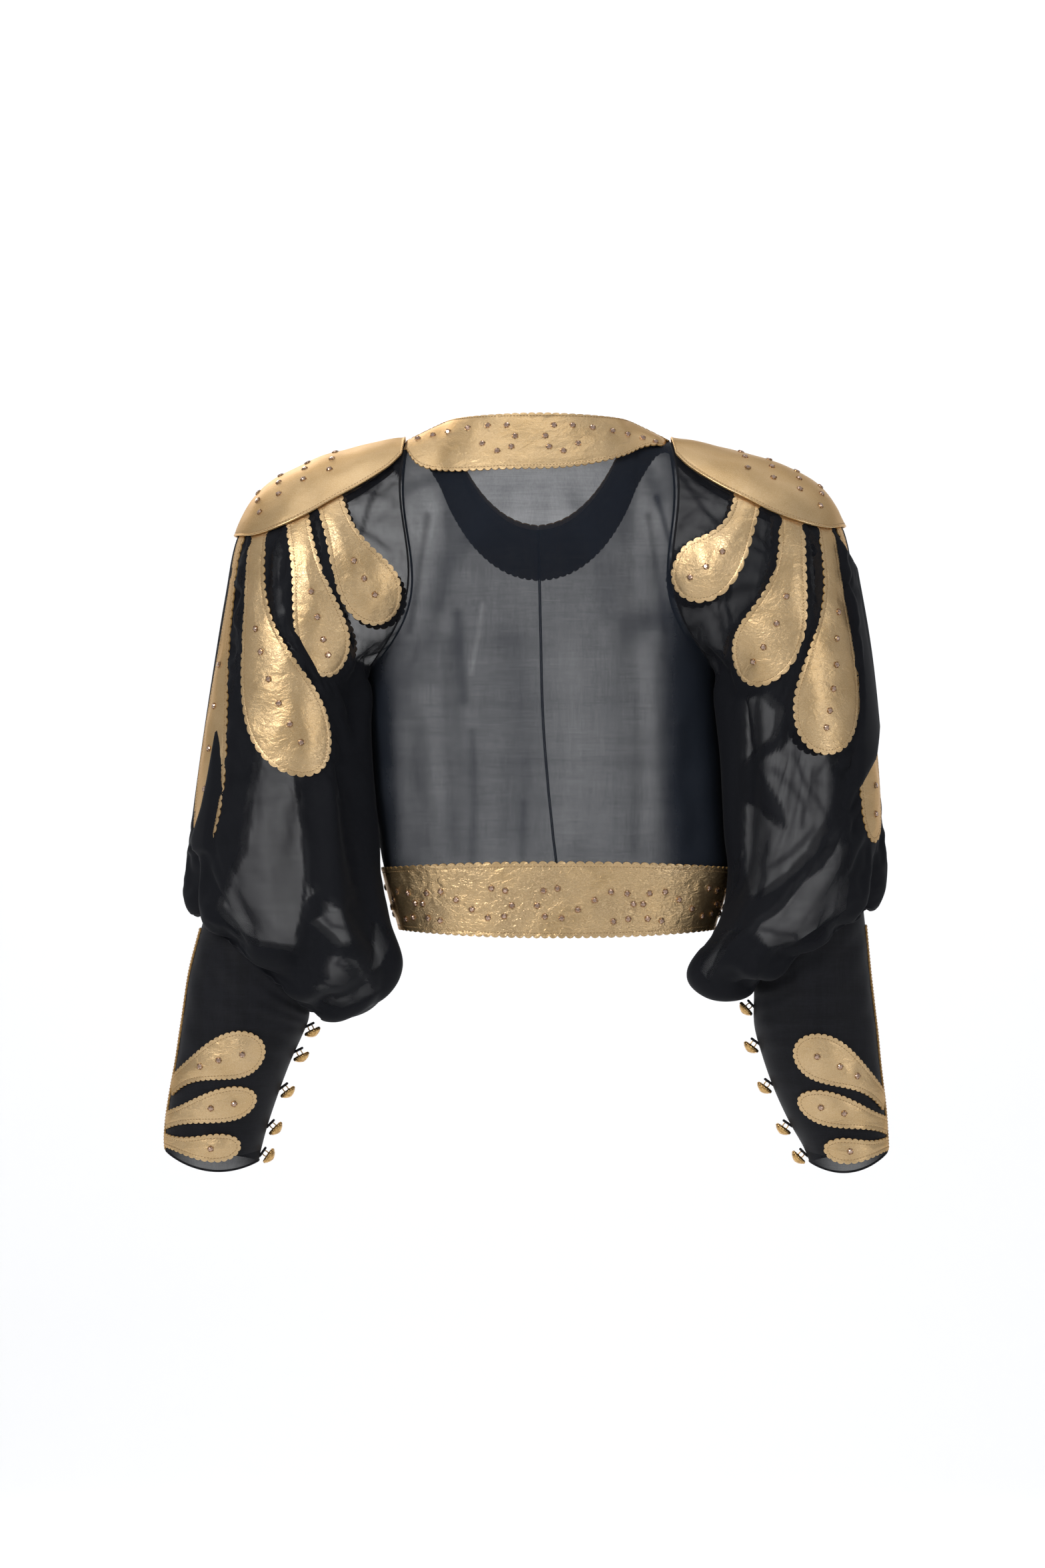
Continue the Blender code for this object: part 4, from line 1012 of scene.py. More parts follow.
def outward_of(grid, face):
    """The way out of a body grid, at each of its points."""
    down, across = np.gradient(grid, axis=0), np.gradient(grid, axis=1)
    normals = unit(np.cross(across, down))
    return normals * np.where(normals[..., 1:2] * FACES[face] < 0, -1, 1)


def press_folds(grid, face, columns):
    """Sinks soft folds into a body grid. They fade at the seams, the hem and the neck."""
    share = np.linspace(0, 1, 24)[:, None]
    height = np.zeros(grid.shape[:2])
    flat = grid[..., [0, 2]]
    for x_1, z_1, x_2, z_2, depth, width in BODY_FOLDS[face] + LIGHT_FOLDS[face]:
        line = np.array([x_1, z_1]) + (np.array([x_2, z_2]) - np.array([x_1, z_1])) * share
        line[:, 0] += FOLD_WANDER * np.sin(3 * share[:, 0] * math.pi + x_1)
        height -= depth * near_line(flat, line, width)
    height += UNEVEN * soft_noise(grid, size=46, seed=11)
    from_seam = np.minimum(*(np.linalg.norm(grid - grid[:, [end]], axis=-1) for end in (0, -1)))
    if face == "front":
        middle = grid[:, 0] if abs(columns[0]) < abs(columns[-1]) else grid[:, -1]
        from_seam = np.where(np.linalg.norm(grid - middle[:, None], axis=-1) < 60, 60, from_seam)
    fade = step(0, 14, from_seam) * step(BELT_TOP, BELT_TOP + 26, grid[..., 2])
    from_neck = np.linalg.norm(grid - grid[-1:], axis=-1)
    fade *= step(0, 24, from_neck)
    # Under the collar the cloth lies a little further in
    sunk = UNDER_COLLAR * (1 - step(10, 26, from_neck)) * step(0, 5, from_seam)
    return grid + outward_of(grid, face) * (height * fade - sunk)[..., None]


def even_shares(face, columns):
    """Shares of the armhole that step evenly, counting both its own length and the height of the panel."""
    shares = np.linspace(0, 1, 241)
    rows = upper_rows(face, columns[[0, len(columns) // 2]], shares)
    armhole, inner = np.linalg.norm(np.diff(rows, axis=0), axis=-1).T
    length = np.concatenate([[0], np.cumsum(0.4 * armhole + inner)])
    return np.interp(np.linspace(0, length[-1], round(length[-1] / ROW_GAP) + 1), length, shares)[1:]


def body_grid(face, columns):
    """A panel's points, from the hem up to the neck and the shoulder seam."""
    heights = np.linspace(HEM_Z, UNDERARM_Z, round((UNDERARM_Z - HEM_Z) / ROW_GAP) + 1)
    lower = [lower_body_point(face, np.full(columns.shape, z), columns) for z in heights]
    return np.concatenate([np.array(lower), upper_rows(face, columns, even_shares(face, columns))])


def panel_layers(face, places):
    """How many layers of cloth lie at each place of a panel: more towards the side seams, where the added
    layers are painted shade on the flanks, and at the shoulders; more along the painted shade of its folds
    and fewer along the painted highlights of its ridges; and less beside the neck."""
    x, _, z = places.T
    # Painted shade on the flanks, stronger lower down
    flank_shade = FLANK_SHADE_LAYERS["left"] * step(118, 152, x) + FLANK_SHADE_LAYERS["right"] * step(94, 140, -x)
    layers = PLAIN_LAYERS[face] + flank_shade * (0.35 + 0.65 * step(100, 190, -z))
    if face == "back":
        half, upper = np.abs(x - BODY_MIDDLE), step(-110, -70, z)
        layers = layers + SHOULDER_LAYERS * upper * (1 - step(60, 90, half))
        beside_neck = np.where(x > 0, NECK_LEFT * step(82, 100, half), NECK_RIGHT * step(62, 82, half))
        layers = layers - beside_neck * upper
    # Painted shade along the folds and painted highlights along the ridges of the body
    return layers + along_crease_and_shade_lines(places[:, [0, 2]], BODY_SHADE_AND_HIGHLIGHT_LINES[face])


panels, body_grids = {}, {}
for name, face, columns in body_columns():
    grid = close_front(press_folds(body_grid(face, columns), face, columns), face)
    body_grids[name] = grid
    panel = piece(f"{name}_chiffon", grid.reshape(-1, 3), grid_faces(*grid.shape[:2]), [body_chiffon],
                  flip=face == "back")
    smoothed(panel)
    paint_values(panel, "layers", panel_layers(face, read_mesh(panel)[0]))
    panels[name] = panel
    print(name, "points:", grid.shape[0] * grid.shape[1])

# %% [markdown]
# ## Full upper sleeves
#
# Each sleeve is one tube of chiffon, far wider than the arm, so it lies in folds. Where it is folded over
# on itself it is nearly black, and between the folds a few open places let the light through. The main
# troughs are set first. A cloth simulation then makes the cloth a little too big for its form,
# with the armhole, the elbow seam and the ground under the leather held, so it buckles into its own small
# wrinkles. Last, the outlines of the open places and the lines of the creases say how many layers of
# cloth lie on each other, and the folded parts are raised by a thickness.

# %% Open places and creases
OPEN_PLACES = {
    "left": (
        (1.0, ((237, -261), (242, -286), (247, -308), (252, -350), (262, -371), (273, -398), (258, -419),
         (242, -429), (220, -432), (207, -435), (200, -405), (197, -369), (199, -336), (204, -305),
         (205, -285), (218, -240))),
        (1.0, ((195, -376), (187, -384), (197, -393))),
        (1.0, ((181, -390), (166, -398), (161, -419), (157, -430), (169, -430), (185, -416), (193, -409),
         (183, -404))),
        (1.0, ((141, -409), (127, -413), (125, -426), (128, -435), (136, -450), (143, -453))),
        (1.1, ((176, -438), (164, -437), (152, -442), (145, -454), (141, -463), (136, -470), (155, -479),
         (168, -483), (182, -479), (189, -472), (191, -463), (180, -461), (182, -447))),
        (1.1, ((216, -71), (226, -99), (228, -134), (224, -175), (204, -182), (210, -165), (217, -126))),
        (1.3, ((249, -87), (243, -99), (247, -146), (252, -175), (254, -204), (261, -224), (259, -185),
         (255, -126))),
        (1.5, ((197, -64), (184, -68), (181, -114), (187, -99), (195, -83))),
        (0.7, ((166, -48), (148, -40), (125, -20), (112, -40), (109, -126), (121, -159), (140, -194),
         (158, -189), (164, -161), (168, -100))),
    ),
    "right": (
        (1.0, ((-176, -218), (-193, -216), (-208, -230), (-203, -252), (-186, -266), (-176, -275))),
        (1.0, ((-176, -308), (-189, -311), (-200, -323), (-210, -332), (-205, -312), (-192, -290),
         (-184, -277), (-194, -268), (-206, -262), (-219, -242), (-231, -254), (-250, -266), (-258, -290),
         (-255, -312), (-243, -333), (-232, -352), (-214, -371), (-189, -389), (-178, -391), (-175, -349))),
        (1.0, ((-259, -325), (-262, -341), (-262, -379), (-260, -399), (-245, -414), (-236, -424),
         (-223, -429), (-200, -434), (-192, -431), (-182, -419), (-188, -410), (-203, -400), (-215, -386),
         (-225, -373), (-239, -364), (-249, -349))),
        (1.0, ((-174, -415), (-160, -428), (-159, -434), (-153, -444), (-145, -460), (-138, -452),
         (-138, -432), (-142, -422), (-159, -416))),
        (1.1, ((-173, -347), (-173, -367), (-167, -385), (-160, -402), (-165, -379), (-167, -361))),
        (1.05, ((-121, -16), (-140, -35), (-167, -49), (-156, -75), (-126, -90), (-108, -100),
         (-104, -40))),
        (1.4, ((-182, -56), (-198, -60), (-198, -90), (-188, -134), (-164, -158), (-159, -140),
         (-169, -101))),
        (1.35, ((-226, -70), (-240, -90), (-241, -133), (-232, -160), (-228, -120))),
        (1.3, ((-118, -130), (-155, -120), (-162, -171), (-155, -200), (-144, -222), (-132, -190))),
    ),
}
CREASES = {
    "left": (
        (1.0, 1.8, ((157, -430), (169, -444), (150, -460))),
        (0.9, 1.5, ((181, -404), (174, -412), (163, -414))),
        (0.7, 1.6, ((150, -440), (146, -452), (158, -474))),
        (1.2, 1.8, ((164, -437), (154, -452), (159, -468), (172, -474))),
        (0.9, 1.6, ((180, -461), (164, -468), (146, -461))),
        (0.7, 1.4, ((187, -470), (170, -480), (150, -474))),
        (0.7, 2.0, ((181, -70), (180, -118), (166, -156))),
        (0.8, 2.0, ((128, -22), (141, -52), (150, -82))),
        (0.5, 2.2, ((204, -70), (207, -120), (212, -160))),
    ),
    "right": (
        (0.9, 1.8, ((-215, -268), (-224, -291), (-233, -305), (-242, -318), (-245, -335))),
        (0.7, 2.2, ((-198, -281), (-214, -296), (-224, -311), (-222, -328))),
        (0.6, 2.0, ((-243, -272), (-253, -289), (-257, -306))),
        (0.9, 2.4, ((-232, -331), (-221, -343), (-212, -352), (-197, -362))),
        (1.0, 1.4, ((-182, -417), (-188, -425), (-195, -434))),
        (0.8, 1.8, ((-185, -414), (-203, -419), (-215, -419), (-221, -430))),
        (0.8, 2.2, ((-111, -16), (-124, -37), (-140, -61), (-152, -75))),
        (0.7, 2.0, ((-212, -70), (-214, -120), (-205, -168))),
        (0.5, 2.0, ((-249, -340), (-254, -375), (-250, -405))),
    ),
}
FOLDED, FOLDED_FRONT, EDGE_WIDTH, FOLD_RAISE = 2.8, 2.1, 1.0, 0.9
BELT_ROOM, BODY_CLEAR = 3.0, 1.6
FOLD_OVER = {
    "left": (
        ((211, -150), (184, -203), (181, -216), (205, -194), (222, -172), (222, -152)),
        ((271, -240), (267, -262), (266, -288), (269, -306), (273, -329), (274, -352), (298, -352),
         (291, -331), (285, -313), (280, -290), (275, -262)),
    ),
    "right": (
        ((-250, -80), (-264, -98), (-330, -186), (-330, -200), (-290, -249), (-286, -271), (-264, -307),
        (-262, -345), (-240, -345), (-250, -180)),
    ),
}
FOLD_OVER_RAISE = 4.8


def depth_inside(flat, corners):
    """How far inside a closed outline each place lies, below 0 outside it. A place is inside if a ray
    from it crosses the outline an odd number of times."""
    inside = np.zeros(len(flat), bool)
    for (x_1, z_1), (x_2, z_2) in zip(corners, corners[1:] + corners[:1]):
        crosses = (z_1 > flat[:, 1]) != (z_2 > flat[:, 1])
        inside ^= crosses & (flat[:, 0] < (x_2 - x_1) * (flat[:, 1] - z_1) / ((z_2 - z_1) or 1e-9) + x_1)
    return from_segments(flat, corners, closed=True) * np.where(inside, 1, -1)


def folded_over(side, places, behind):
    """1 where a fold of the cloth lies over a petal, on the back of a sleeve."""
    cover = np.zeros(len(places))
    for corners in FOLD_OVER[side]:
        cover = np.maximum(cover, step(-2.0, 5.0, depth_inside(places[:, [0, 2]], corners)))
    _, ring, angle, root, widest = next(petal for petal in PETALS["sleeve", side] if petal[0] == "back_3")
    line = mirrored(limb_point("sleeve", side, ring, angle), side)
    gap = np.linalg.norm(places[:, None] - line, axis=-1) - petal_half_width(STATIONS, root, widest, 0.03)
    return cover * behind * step(2, 6, gap.min(axis=1))


def cloth_layers(side, places, behind):
    """How many layers lie at each place of a sleeve. `behind` is 1 on its back and 0 on its front."""
    flat = places[:, [0, 2]] + UNEVEN * np.stack([soft_noise(places, 12, seed) for seed in (41, 42)], axis=1)
    layers = FOLDED_FRONT + (FOLDED - FOLDED_FRONT) * behind
    for count, corners in OPEN_PLACES[side]:
        opened = step(-EDGE_WIDTH, EDGE_WIDTH, depth_inside(flat, corners))
        layers = layers + (np.minimum(layers, count) - layers) * opened
    return layers + behind * along_crease_and_shade_lines(flat, CREASES[side]), step(1.3, FOLDED_FRONT, layers)


def clear_of_body(side, places):
    """Moves the points of a sleeve out to where they just clear the side of the body and the belt."""
    sign = 1 if side == "left" else -1
    rows = np.array(BODY_ROWS, float)
    x, y, z = places.T
    _, shift, half, back, front = read_rows(rows, np.interp(-z, -rows[:, 0], np.arange(len(rows)))).T
    thick = np.where(z < BELT_TOP + 12, BELT_ROOM, 0)
    share = np.clip(np.abs(y) / (np.where(y > 0, back, front) + thick), 0, 1)
    reach = (half + thick) * (1 - share ** (2 / SIDE_ROUNDNESS)) ** (SIDE_ROUNDNESS / 2)
    beside = (z < UNDERARM_Z) & (z > BELT_LOW - 14) & (share < 1)
    least = sign * shift + reach + BODY_CLEAR
    moved = np.where(beside, np.maximum(sign * x, least), sign * x)
    print("moved clear of the body:", int((moved > sign * x + 1e-6).sum()), "points")
    return np.stack([sign * moved, y, z], axis=1)


# %% Settling the cloth
SLEEVE_RINGS, SLEEVE_AROUND = 97, 108
SIM_FRAMES, SIM_REACH, SIM_GROWTH = 16, 7.0, 0.15
ARMHOLE_X, UNDER_X, ELBOW_Z = 112, 185, 400
turns = (full_turn(SLEEVE_AROUND) + math.pi) % (2 * math.pi) - math.pi


def held_fast(side, ring, angle):
    """1 where the cloth is held: under petals and plate, along the outer line and at both seams."""
    last = last_ring("sleeve", side)
    plate_rings, plate_angles = np.array(PLATE_ROWS, float).T
    covered = np.radians(np.interp(ring, plate_rings, plate_angles, right=-40))
    held = under_petals(side, limb_point("sleeve", side, ring, angle), 7)
    for more in (1 - step(0, math.radians(6), np.abs(angle) - covered), 1 - step(0.1, 0.5, ring),
                 (1 - step(math.radians(14), math.radians(26), np.abs(angle))) * (1 - step(8, 9, ring)),
                 step(last - 0.45, last - 0.1, ring)):
        held = np.maximum(held, more)
    return held.ravel()


def settle(item, held):
    """Lets the cloth grow a little and wrinkle, with its held points fixed, and caps how far it moves."""
    group = item.vertex_groups.new(name="held")
    for level in np.unique(np.round(held, 2)):
        if level > 0:
            group.add(np.flatnonzero(np.abs(held - level) < 0.005).tolist(), float(level), "REPLACE")
    before = np.empty(len(item.data.vertices) * 3)
    item.data.vertices.foreach_get("co", before)
    before = before.reshape(-1, 3) / MM
    cloth = item.modifiers.new("settle", "CLOTH")
    setting = cloth.settings
    setting.quality = 5
    setting.mass = 0.12
    setting.tension_stiffness = setting.compression_stiffness = 12
    setting.shear_stiffness = 4
    setting.bending_stiffness = 0.06
    setting.air_damping = 2
    setting.vertex_group_mass = "held"
    setting.pin_stiffness = 1
    setting.shrink_min = -SIM_GROWTH
    setting.effector_weights.gravity = 0.25
    cloth.collision_settings.use_collision = False
    cloth.point_cache.frame_start, cloth.point_cache.frame_end = 1, SIM_FRAMES
    scene = bpy.context.scene
    for frame_number in range(1, SIM_FRAMES + 1):
        scene.frame_set(frame_number)
    after = np.empty(before.size)
    item.evaluated_get(bpy.context.evaluated_depsgraph_get()).data.vertices.foreach_get("co", after)
    item.modifiers.remove(cloth)
    scene.frame_set(1)
    moved = after.reshape(-1, 3) / MM - before
    far = np.maximum(np.linalg.norm(moved, axis=1, keepdims=True), 1e-6)
    moved = moved / far * SIM_REACH * np.tanh(far / SIM_REACH)
    item.data.vertices.foreach_set("co", ((before + moved) * MM).ravel())
    item.vertex_groups.clear()
    item.data.update()
    print(item.name, "moved", round(float(np.linalg.norm(moved, axis=1).mean()), 1), "mm on average")


for side in SIDES:
    rings = last_ring("sleeve", side) * np.linspace(0, 1, SLEEVE_RINGS)
    ring, angle = np.meshgrid(rings, turns, indexing="ij")
    grid = mirrored(sleeve_grid(side, ring, angle), side)
    sleeve = piece(f"sleeve_{side}_chiffon", grid.reshape(-1, 3), grid_faces(*grid.shape[:2], closed=True),
                   [sleeve_chiffon], flip=side == "left")
    settle(sleeve, held_fast(side, ring, angle))
    smoothed(sleeve)
    places, ways = read_mesh(sleeve)
    layers, folded = cloth_layers(side, places, step(-0.12, 0.12, ways[:, 1]))
    aside = np.abs(places[:, 0])
    from_seam = np.minimum(aside - ARMHOLE_X, ELBOW_Z + places[:, 2] * (aside > UNDER_X))
    over = folded_over(side, places, step(-0.30, -0.05, ways[:, 1]))
    places = places + ways * (FOLD_RAISE * folded * step(2, 20, from_seam) + FOLD_OVER_RAISE * over)[:, None]
    layers = layers + (np.maximum(layers, FOLDED) - layers) * over
    places = clear_of_body(side, places)
    sleeve.data.vertices.foreach_set("co", (places * MM).ravel())
    paint_values(sleeve, "layers", layers)
    print(sleeve.name, "points:", len(sleeve.data.vertices))

# %% [markdown]
# ## Fitted lower sleeves
#
# The lower sleeve is lined, so it is dense black until the last centimetre before the rolled hem.

# %% Lower sleeves
FOREARM_RINGS, FOREARM_AROUND = 90, 96
SHEER_HEM = 0.75
RIPPLES, RIPPLE_RISE, RIPPLES_END = 9, 0.55, (2.2, 4.4)
for side in SIDES:
    last = last_ring("forearm", side)
    ring, angle = np.meshgrid(np.linspace(0, last, FOREARM_RINGS), full_turn(FOREARM_AROUND), indexing="ij")
    base = limb_point("forearm", side, ring, angle)
    slots = np.repeat((ring[1:, 0] > last - SHEER_HEM).astype(int), FOREARM_AROUND)
    wrinkle = np.sin(RIPPLES * ring + 2.5 * np.sin(2 * angle + ring)) * (1 - step(*RIPPLES_END, ring))
    wrinkle = RIPPLE_RISE * wrinkle + UNEVEN * soft_noise(base, size=26, seed=21)
    wrinkle = wrinkle * step(0, 0.3, ring) * (1 - step(last - 0.5, last, ring)) * np.abs(np.sin(angle))
    grid = mirrored(base + limb_normal("forearm", side, ring, angle) * wrinkle[..., None], side)
    forearm = piece(f"forearm_{side}_cloth", grid.reshape(-1, 3), grid_faces(*grid.shape[:2], closed=True),
                    [lined_cloth, sleeve_chiffon], slots, flip=side == "left")
    paint_values(forearm, "layers", np.full(ring.size, 1.5))
    print(forearm.name, "points:", len(forearm.data.vertices))

# %% [markdown]
# ## Leather cut to shape
#
# A leather piece is a set of ribs that run in from its cut edge. Each rib is sampled at real distances
# from the edge, so the rounded edge, the stitched groove and the soft swelling come out the same on every
# piece. The edge has small round scallops, each from 5 to 7 mm wide, cut with a shaped knife.

# %% Leather builder
SCALLOPS = {"sleeve": (7.1, 2.1), "forearm": (5.3, 1.6), "collar": (6.3, 1.9), "belt": (7.05, 2.2)}
SCALLOP_DEPTH, POINTS_EACH = 2.2, 7
LEATHER, PLATE, BELT = 1.3, 2.4, 2.0
STITCH_INSET, GROOVE_WIDTH = 2.2, 0.75
ROUND_WIDTH, ROUND_DROP = 1.6, 0.35
CREASE_ANGLE = 50
NEAR_EDGE, STITCH_ROW = (0.4, 1.5, STITCH_INSET, 3.0, 5.6), 3


def scallops(count, kind):
    """How far each point of a scalloped edge stands out: round bumps with sharp notches between."""
    return SCALLOPS[kind][1] * np.abs(np.sin(math.pi * np.arange(count) / POINTS_EACH)) ** 0.62


def resample(points, count):
    """Shares along a line of points that divide it into equal steps."""
    length = walked(points)
    return np.interp(np.linspace(0, length[-1], count), length, np.linspace(0, 1, len(points)))


def line_length(points):
    return walked(points)[-1]


def sample_ribs(ribs, outward, distances):
    """Points and outward ways at real distances from each rib's first point. A rib is a short line of
    points, and distances below 0 go on past its start."""
    steps = np.linalg.norm(np.diff(ribs, axis=1), axis=-1)
    along = np.concatenate([np.zeros((len(ribs), 1)), np.cumsum(steps, axis=1)], axis=1)
    places = np.empty(distances.shape + (3,))
    ways = np.empty(distances.shape + (3,))
    for n, (rib, way) in enumerate(zip(ribs, outward)):
        places[n] = read_line(distances[n], along[n], rib)
        ways[n] = read_line(distances[n], along[n], way)
        places[n] += unit(rib[0] - rib[1]) * np.maximum(-distances[n], 0)[:, None]
        places[n] += unit(rib[-1] - rib[-2]) * np.maximum(distances[n] - along[n, -1], 0)[:, None]
    return places, unit(ways)


def leather_height(inset, thick, swell, groove):
    """Height of the grain side at a distance in from the cut edge."""
    edge = np.clip(1 - (inset + SCALLOP_DEPTH) / ROUND_WIDTH, 0, 1) ** 2 * ROUND_DROP
    stitched = groove * np.exp(-(((inset - STITCH_INSET) / GROOVE_WIDTH) ** 2))
    return thick - edge - stitched + swell * step(3, 18, inset)


def leather_shell(name, places, ways, lift, height, keep, closed, materials):
    """Closes a piece of leather over its grain side, its underside and its cut edges. A leaf's ribs run
    round it; a band has two edges and two ends. Points that coincide become one."""
    top = places + ways * (lift + height)[..., None]
    under = (places + ways * (lift + 0 * height)[..., None])[:, keep]
    count, rows = top.shape[:2]
    points = np.concatenate([part.transpose(1, 0, 2).reshape(-1, 3) for part in (top, under)])
    below = rows * count
    upper = grid_faces(rows, count, closed)
    lower = grid_faces(len(keep), count, closed)[:, ::-1] + below
    here = np.arange(count if closed else count - 1)
    after = (here + 1) % count
    rim = np.stack([here, here + below, after + below, after], axis=1)
    ends = []
    if not closed:
        far, far_low = below - count, below + (len(keep) - 1) * count
        far_rim = np.stack([after + far, after + far_low, here + far_low, here + far], axis=1)
        rim = np.concatenate([rim, far_rim])
        for column, way_round in ((0, 1), (count - 1, -1)):
            loop = [row * count + column for row in range(rows)]
            loop += [below + row * count + column for row in range(len(keep))][::-1]
            ends.append(loop[::way_round])
    faces = np.concatenate([upper, lower, rim]).tolist() + ends
    slots = np.repeat([0, 1, 2], [len(upper), len(lower), len(rim) + len(ends)])
    # The side that is turned over has its faces the other way round
    along, inwards = top[1:, 2] - top[:-1, 2], top[:-1, 3] - top[:-1, 2]
    inside_out = (np.cross(along, inwards) * ways[:-1, 2]).sum() < 0
    item = piece(name, points, faces, materials, slots, flip=inside_out)
    shape = bmesh.new()
    shape.from_mesh(item.data)
    bmesh.ops.remove_doubles(shape, verts=shape.verts, dist=0.02 * MM)
    bmesh.ops.dissolve_degenerate(shape, edges=shape.edges, dist=0.005 * MM)
    shape.to_mesh(item.data)
    shape.free()
    item.data.set_sharp_from_angle(angle=math.radians(CREASE_ANGLE))
    return item, top, ways


def leaf_of_leather(name, ribs, outward, edge, lift, thick, materials, swell, seed, groove=0.25, uneven=0.6,
                    core_steps=3):
    """A leaf: ribs from a closed outline to its core. `edge` says how far each rib is scalloped out."""
    reach = np.linalg.norm(np.diff(ribs, axis=1), axis=-1).sum(axis=1)
    near = zip(NEAR_EDGE, (0.1, 0.25, 0.35, 0.45, 0.62))
    insets = [-edge] + [np.minimum(inset, reach * share) for inset, share in near]
    inner = insets[-1]
    insets += [inner + (reach - inner) * share for share in np.linspace(0, 1, core_steps + 1)[1:]]
    insets = np.stack(insets, axis=1)
    places, ways = sample_ribs(ribs, outward, insets)
    calm = np.broadcast_to(swell, len(ribs))[:, None] / np.max(swell)
    height = leather_height(insets, thick, np.max(swell) * calm, groove)
    height = height + uneven * calm * soft_noise(places, 30, seed) * step(0, 9, insets)
    keep = [0, 1, 5, insets.shape[1] - 1]
    return leather_shell(name, places, ways, lift, height, keep, True, materials)


def band_of_leather(name, ribs, outward, kind, lift, thick, materials, middle, uneven, seed, swell=0.4,
                    groove=0.25, wrinkles=None):
    """A band: ribs from one scalloped edge to the other."""
    count = len(ribs)
    reach = np.linalg.norm(np.diff(ribs, axis=1), axis=-1).sum(axis=1)
    edge = scallops(count, kind)
    inner = min(NEAR_EDGE[-1], reach.min() * 0.4)
    near = [np.full(count, inset * inner / NEAR_EDGE[-1]) for inset in NEAR_EDGE]
    insets = [-edge] + near
    insets += [near[-1] + (reach - 2 * near[-1]) * share for share in np.linspace(0, 1, middle + 2)[1:-1]]
    insets = np.stack(insets + [reach - inset for inset in near[::-1]] + [reach + edge], axis=1)
    places, ways = sample_ribs(ribs, outward, insets)
    from_edge = np.minimum(insets, reach[:, None] - insets)
    height = leather_height(from_edge, thick, swell, groove)
    height = height + uneven * soft_noise(places, 30, seed) * step(0, 9, from_edge)
    if wrinkles is not None:
        height = height + wrinkles(places) * step(0, 5, from_edge)
    if callable(lift):
        lift = lift(insets / reach[:, None])
    rows = insets.shape[1]
    keep = [0, 1, rows // 2, rows - 2, rows - 1]
    return leather_shell(name, places, ways, lift, height, keep, False, materials)

# %% [markdown]
# ## Petals
#
# Each petal is placed by its middle line on the sleeve, and by how far to each side its outline lies.
# Its ribs run from the outline to the middle line, and fan out at the round end and at the root.

# %% Petals
RIB_SHARES = np.linspace(0, 1, 8)
PETAL_LIFT, PETAL_ROOT, PLATE_ROOT = 0.55, 5, 24
SIDE_STEPS, END_STEPS = 70, 50
PETAL_FACES, CREASED_FACES, SMOOTH_FACES = (
    [gold, leather_suede, leather_edge] for gold in (petal_gold, creased_gold, smooth_gold))


def petal_places(limb, side, petal, shares, across):
    """Points and ways out for places on a petal: the share of its length and the distance aside."""
    _, ring, angle, _, _ = petal
    line = limb_point(limb, side, ring, angle)
    heading = np.cross(limb_normal(limb, side, ring, angle), unit(np.gradient(line, axis=0)))
    rings, angles = np.interp(shares, STATIONS, ring), np.interp(shares, STATIONS, angle)
    rings, angles = walk(limb, side, rings, angles, read_line(shares, STATIONS, heading), across)
    return worn_place(limb, side, rings, angles)


def ribs_between(first, second, core, place):
    """Ribs from the outline to the core on the middle line. `place` turns two numbers into points."""
    firsts = first[:, None] + (core - first)[:, None] * RIB_SHARES
    return place(firsts, second[:, None] * (1 - RIB_SHARES))


def leaf_outline(side_shares, side_half, place, root_points, kind):
    """The outline as shares and half widths, with scallops down both sides and a plain root."""
    points, _ = place(side_shares, side_half)
    count = POINTS_EACH * max(2, round(line_length(points) / SCALLOPS[kind][0]))
    at = resample(points, count + 1) * (len(points) - 1)
    shares = np.interp(at, np.arange(len(side_shares)), side_shares)
    half = np.interp(at, np.arange(len(side_half)), side_half)
    root = np.linspace(-half[0], half[0], root_points + 2)[1:-1]
    first = np.concatenate([shares, shares[-2::-1], np.full(root_points, shares[0])])
    second = np.concatenate([half, -half[-2::-1], root])
    edge = scallops(2 * count + 1, kind)
    return first, second, np.concatenate([edge, np.zeros(root_points)])


def petal_edge(root, widest):
    """Shares of the length and half widths down one side of a petal, close together round its end."""
    end = np.sin(np.linspace(0, math.pi / 2, END_STEPS))[1:]
    shares = np.concatenate([np.linspace(0, WIDEST_AT, SIDE_STEPS), WIDEST_AT + (1 - WIDEST_AT) * end])
    return shares, petal_half_width(shares, root, widest)


leather, stitch_lines, petal_tools = {}, {}, {}
for (limb, side), found in PETALS.items():
    for number, petal in enumerate(found):
        name, ring, angle, root, widest = petal
        place = partial(petal_places, limb, side, petal)
        first, second, edge = leaf_outline(*petal_edge(root, widest), place, PETAL_ROOT, limb)
        length = line_length(limb_point(limb, side, ring, angle))
        core = np.clip(first, 0.4 * root / length, 1 - min(0.42 * widest / length, 0.30))
        ribs, outward = ribs_between(first, second, core, place)
        key = f"{limb}_petal_{side}_{name}"
        leather[key], top, ways = leaf_of_leather(
            f"{key}_leather", ribs, outward, edge, PETAL_LIFT, LEATHER, PETAL_FACES,
            1.0 * step(0.03, 0.3, first) + 0.05, 31 + number)
        stitch_lines[key] = (top[:-PETAL_ROOT, STITCH_ROW], ways[:-PETAL_ROOT, STITCH_ROW])
        petal_tools[key] = place
print("petals:", len(leather))

# %% [markdown]
# ## Shoulder plates
#
# Each plate is a stiff shield over the head of the sleeve. Its edge is smooth and bound with a thin piping.

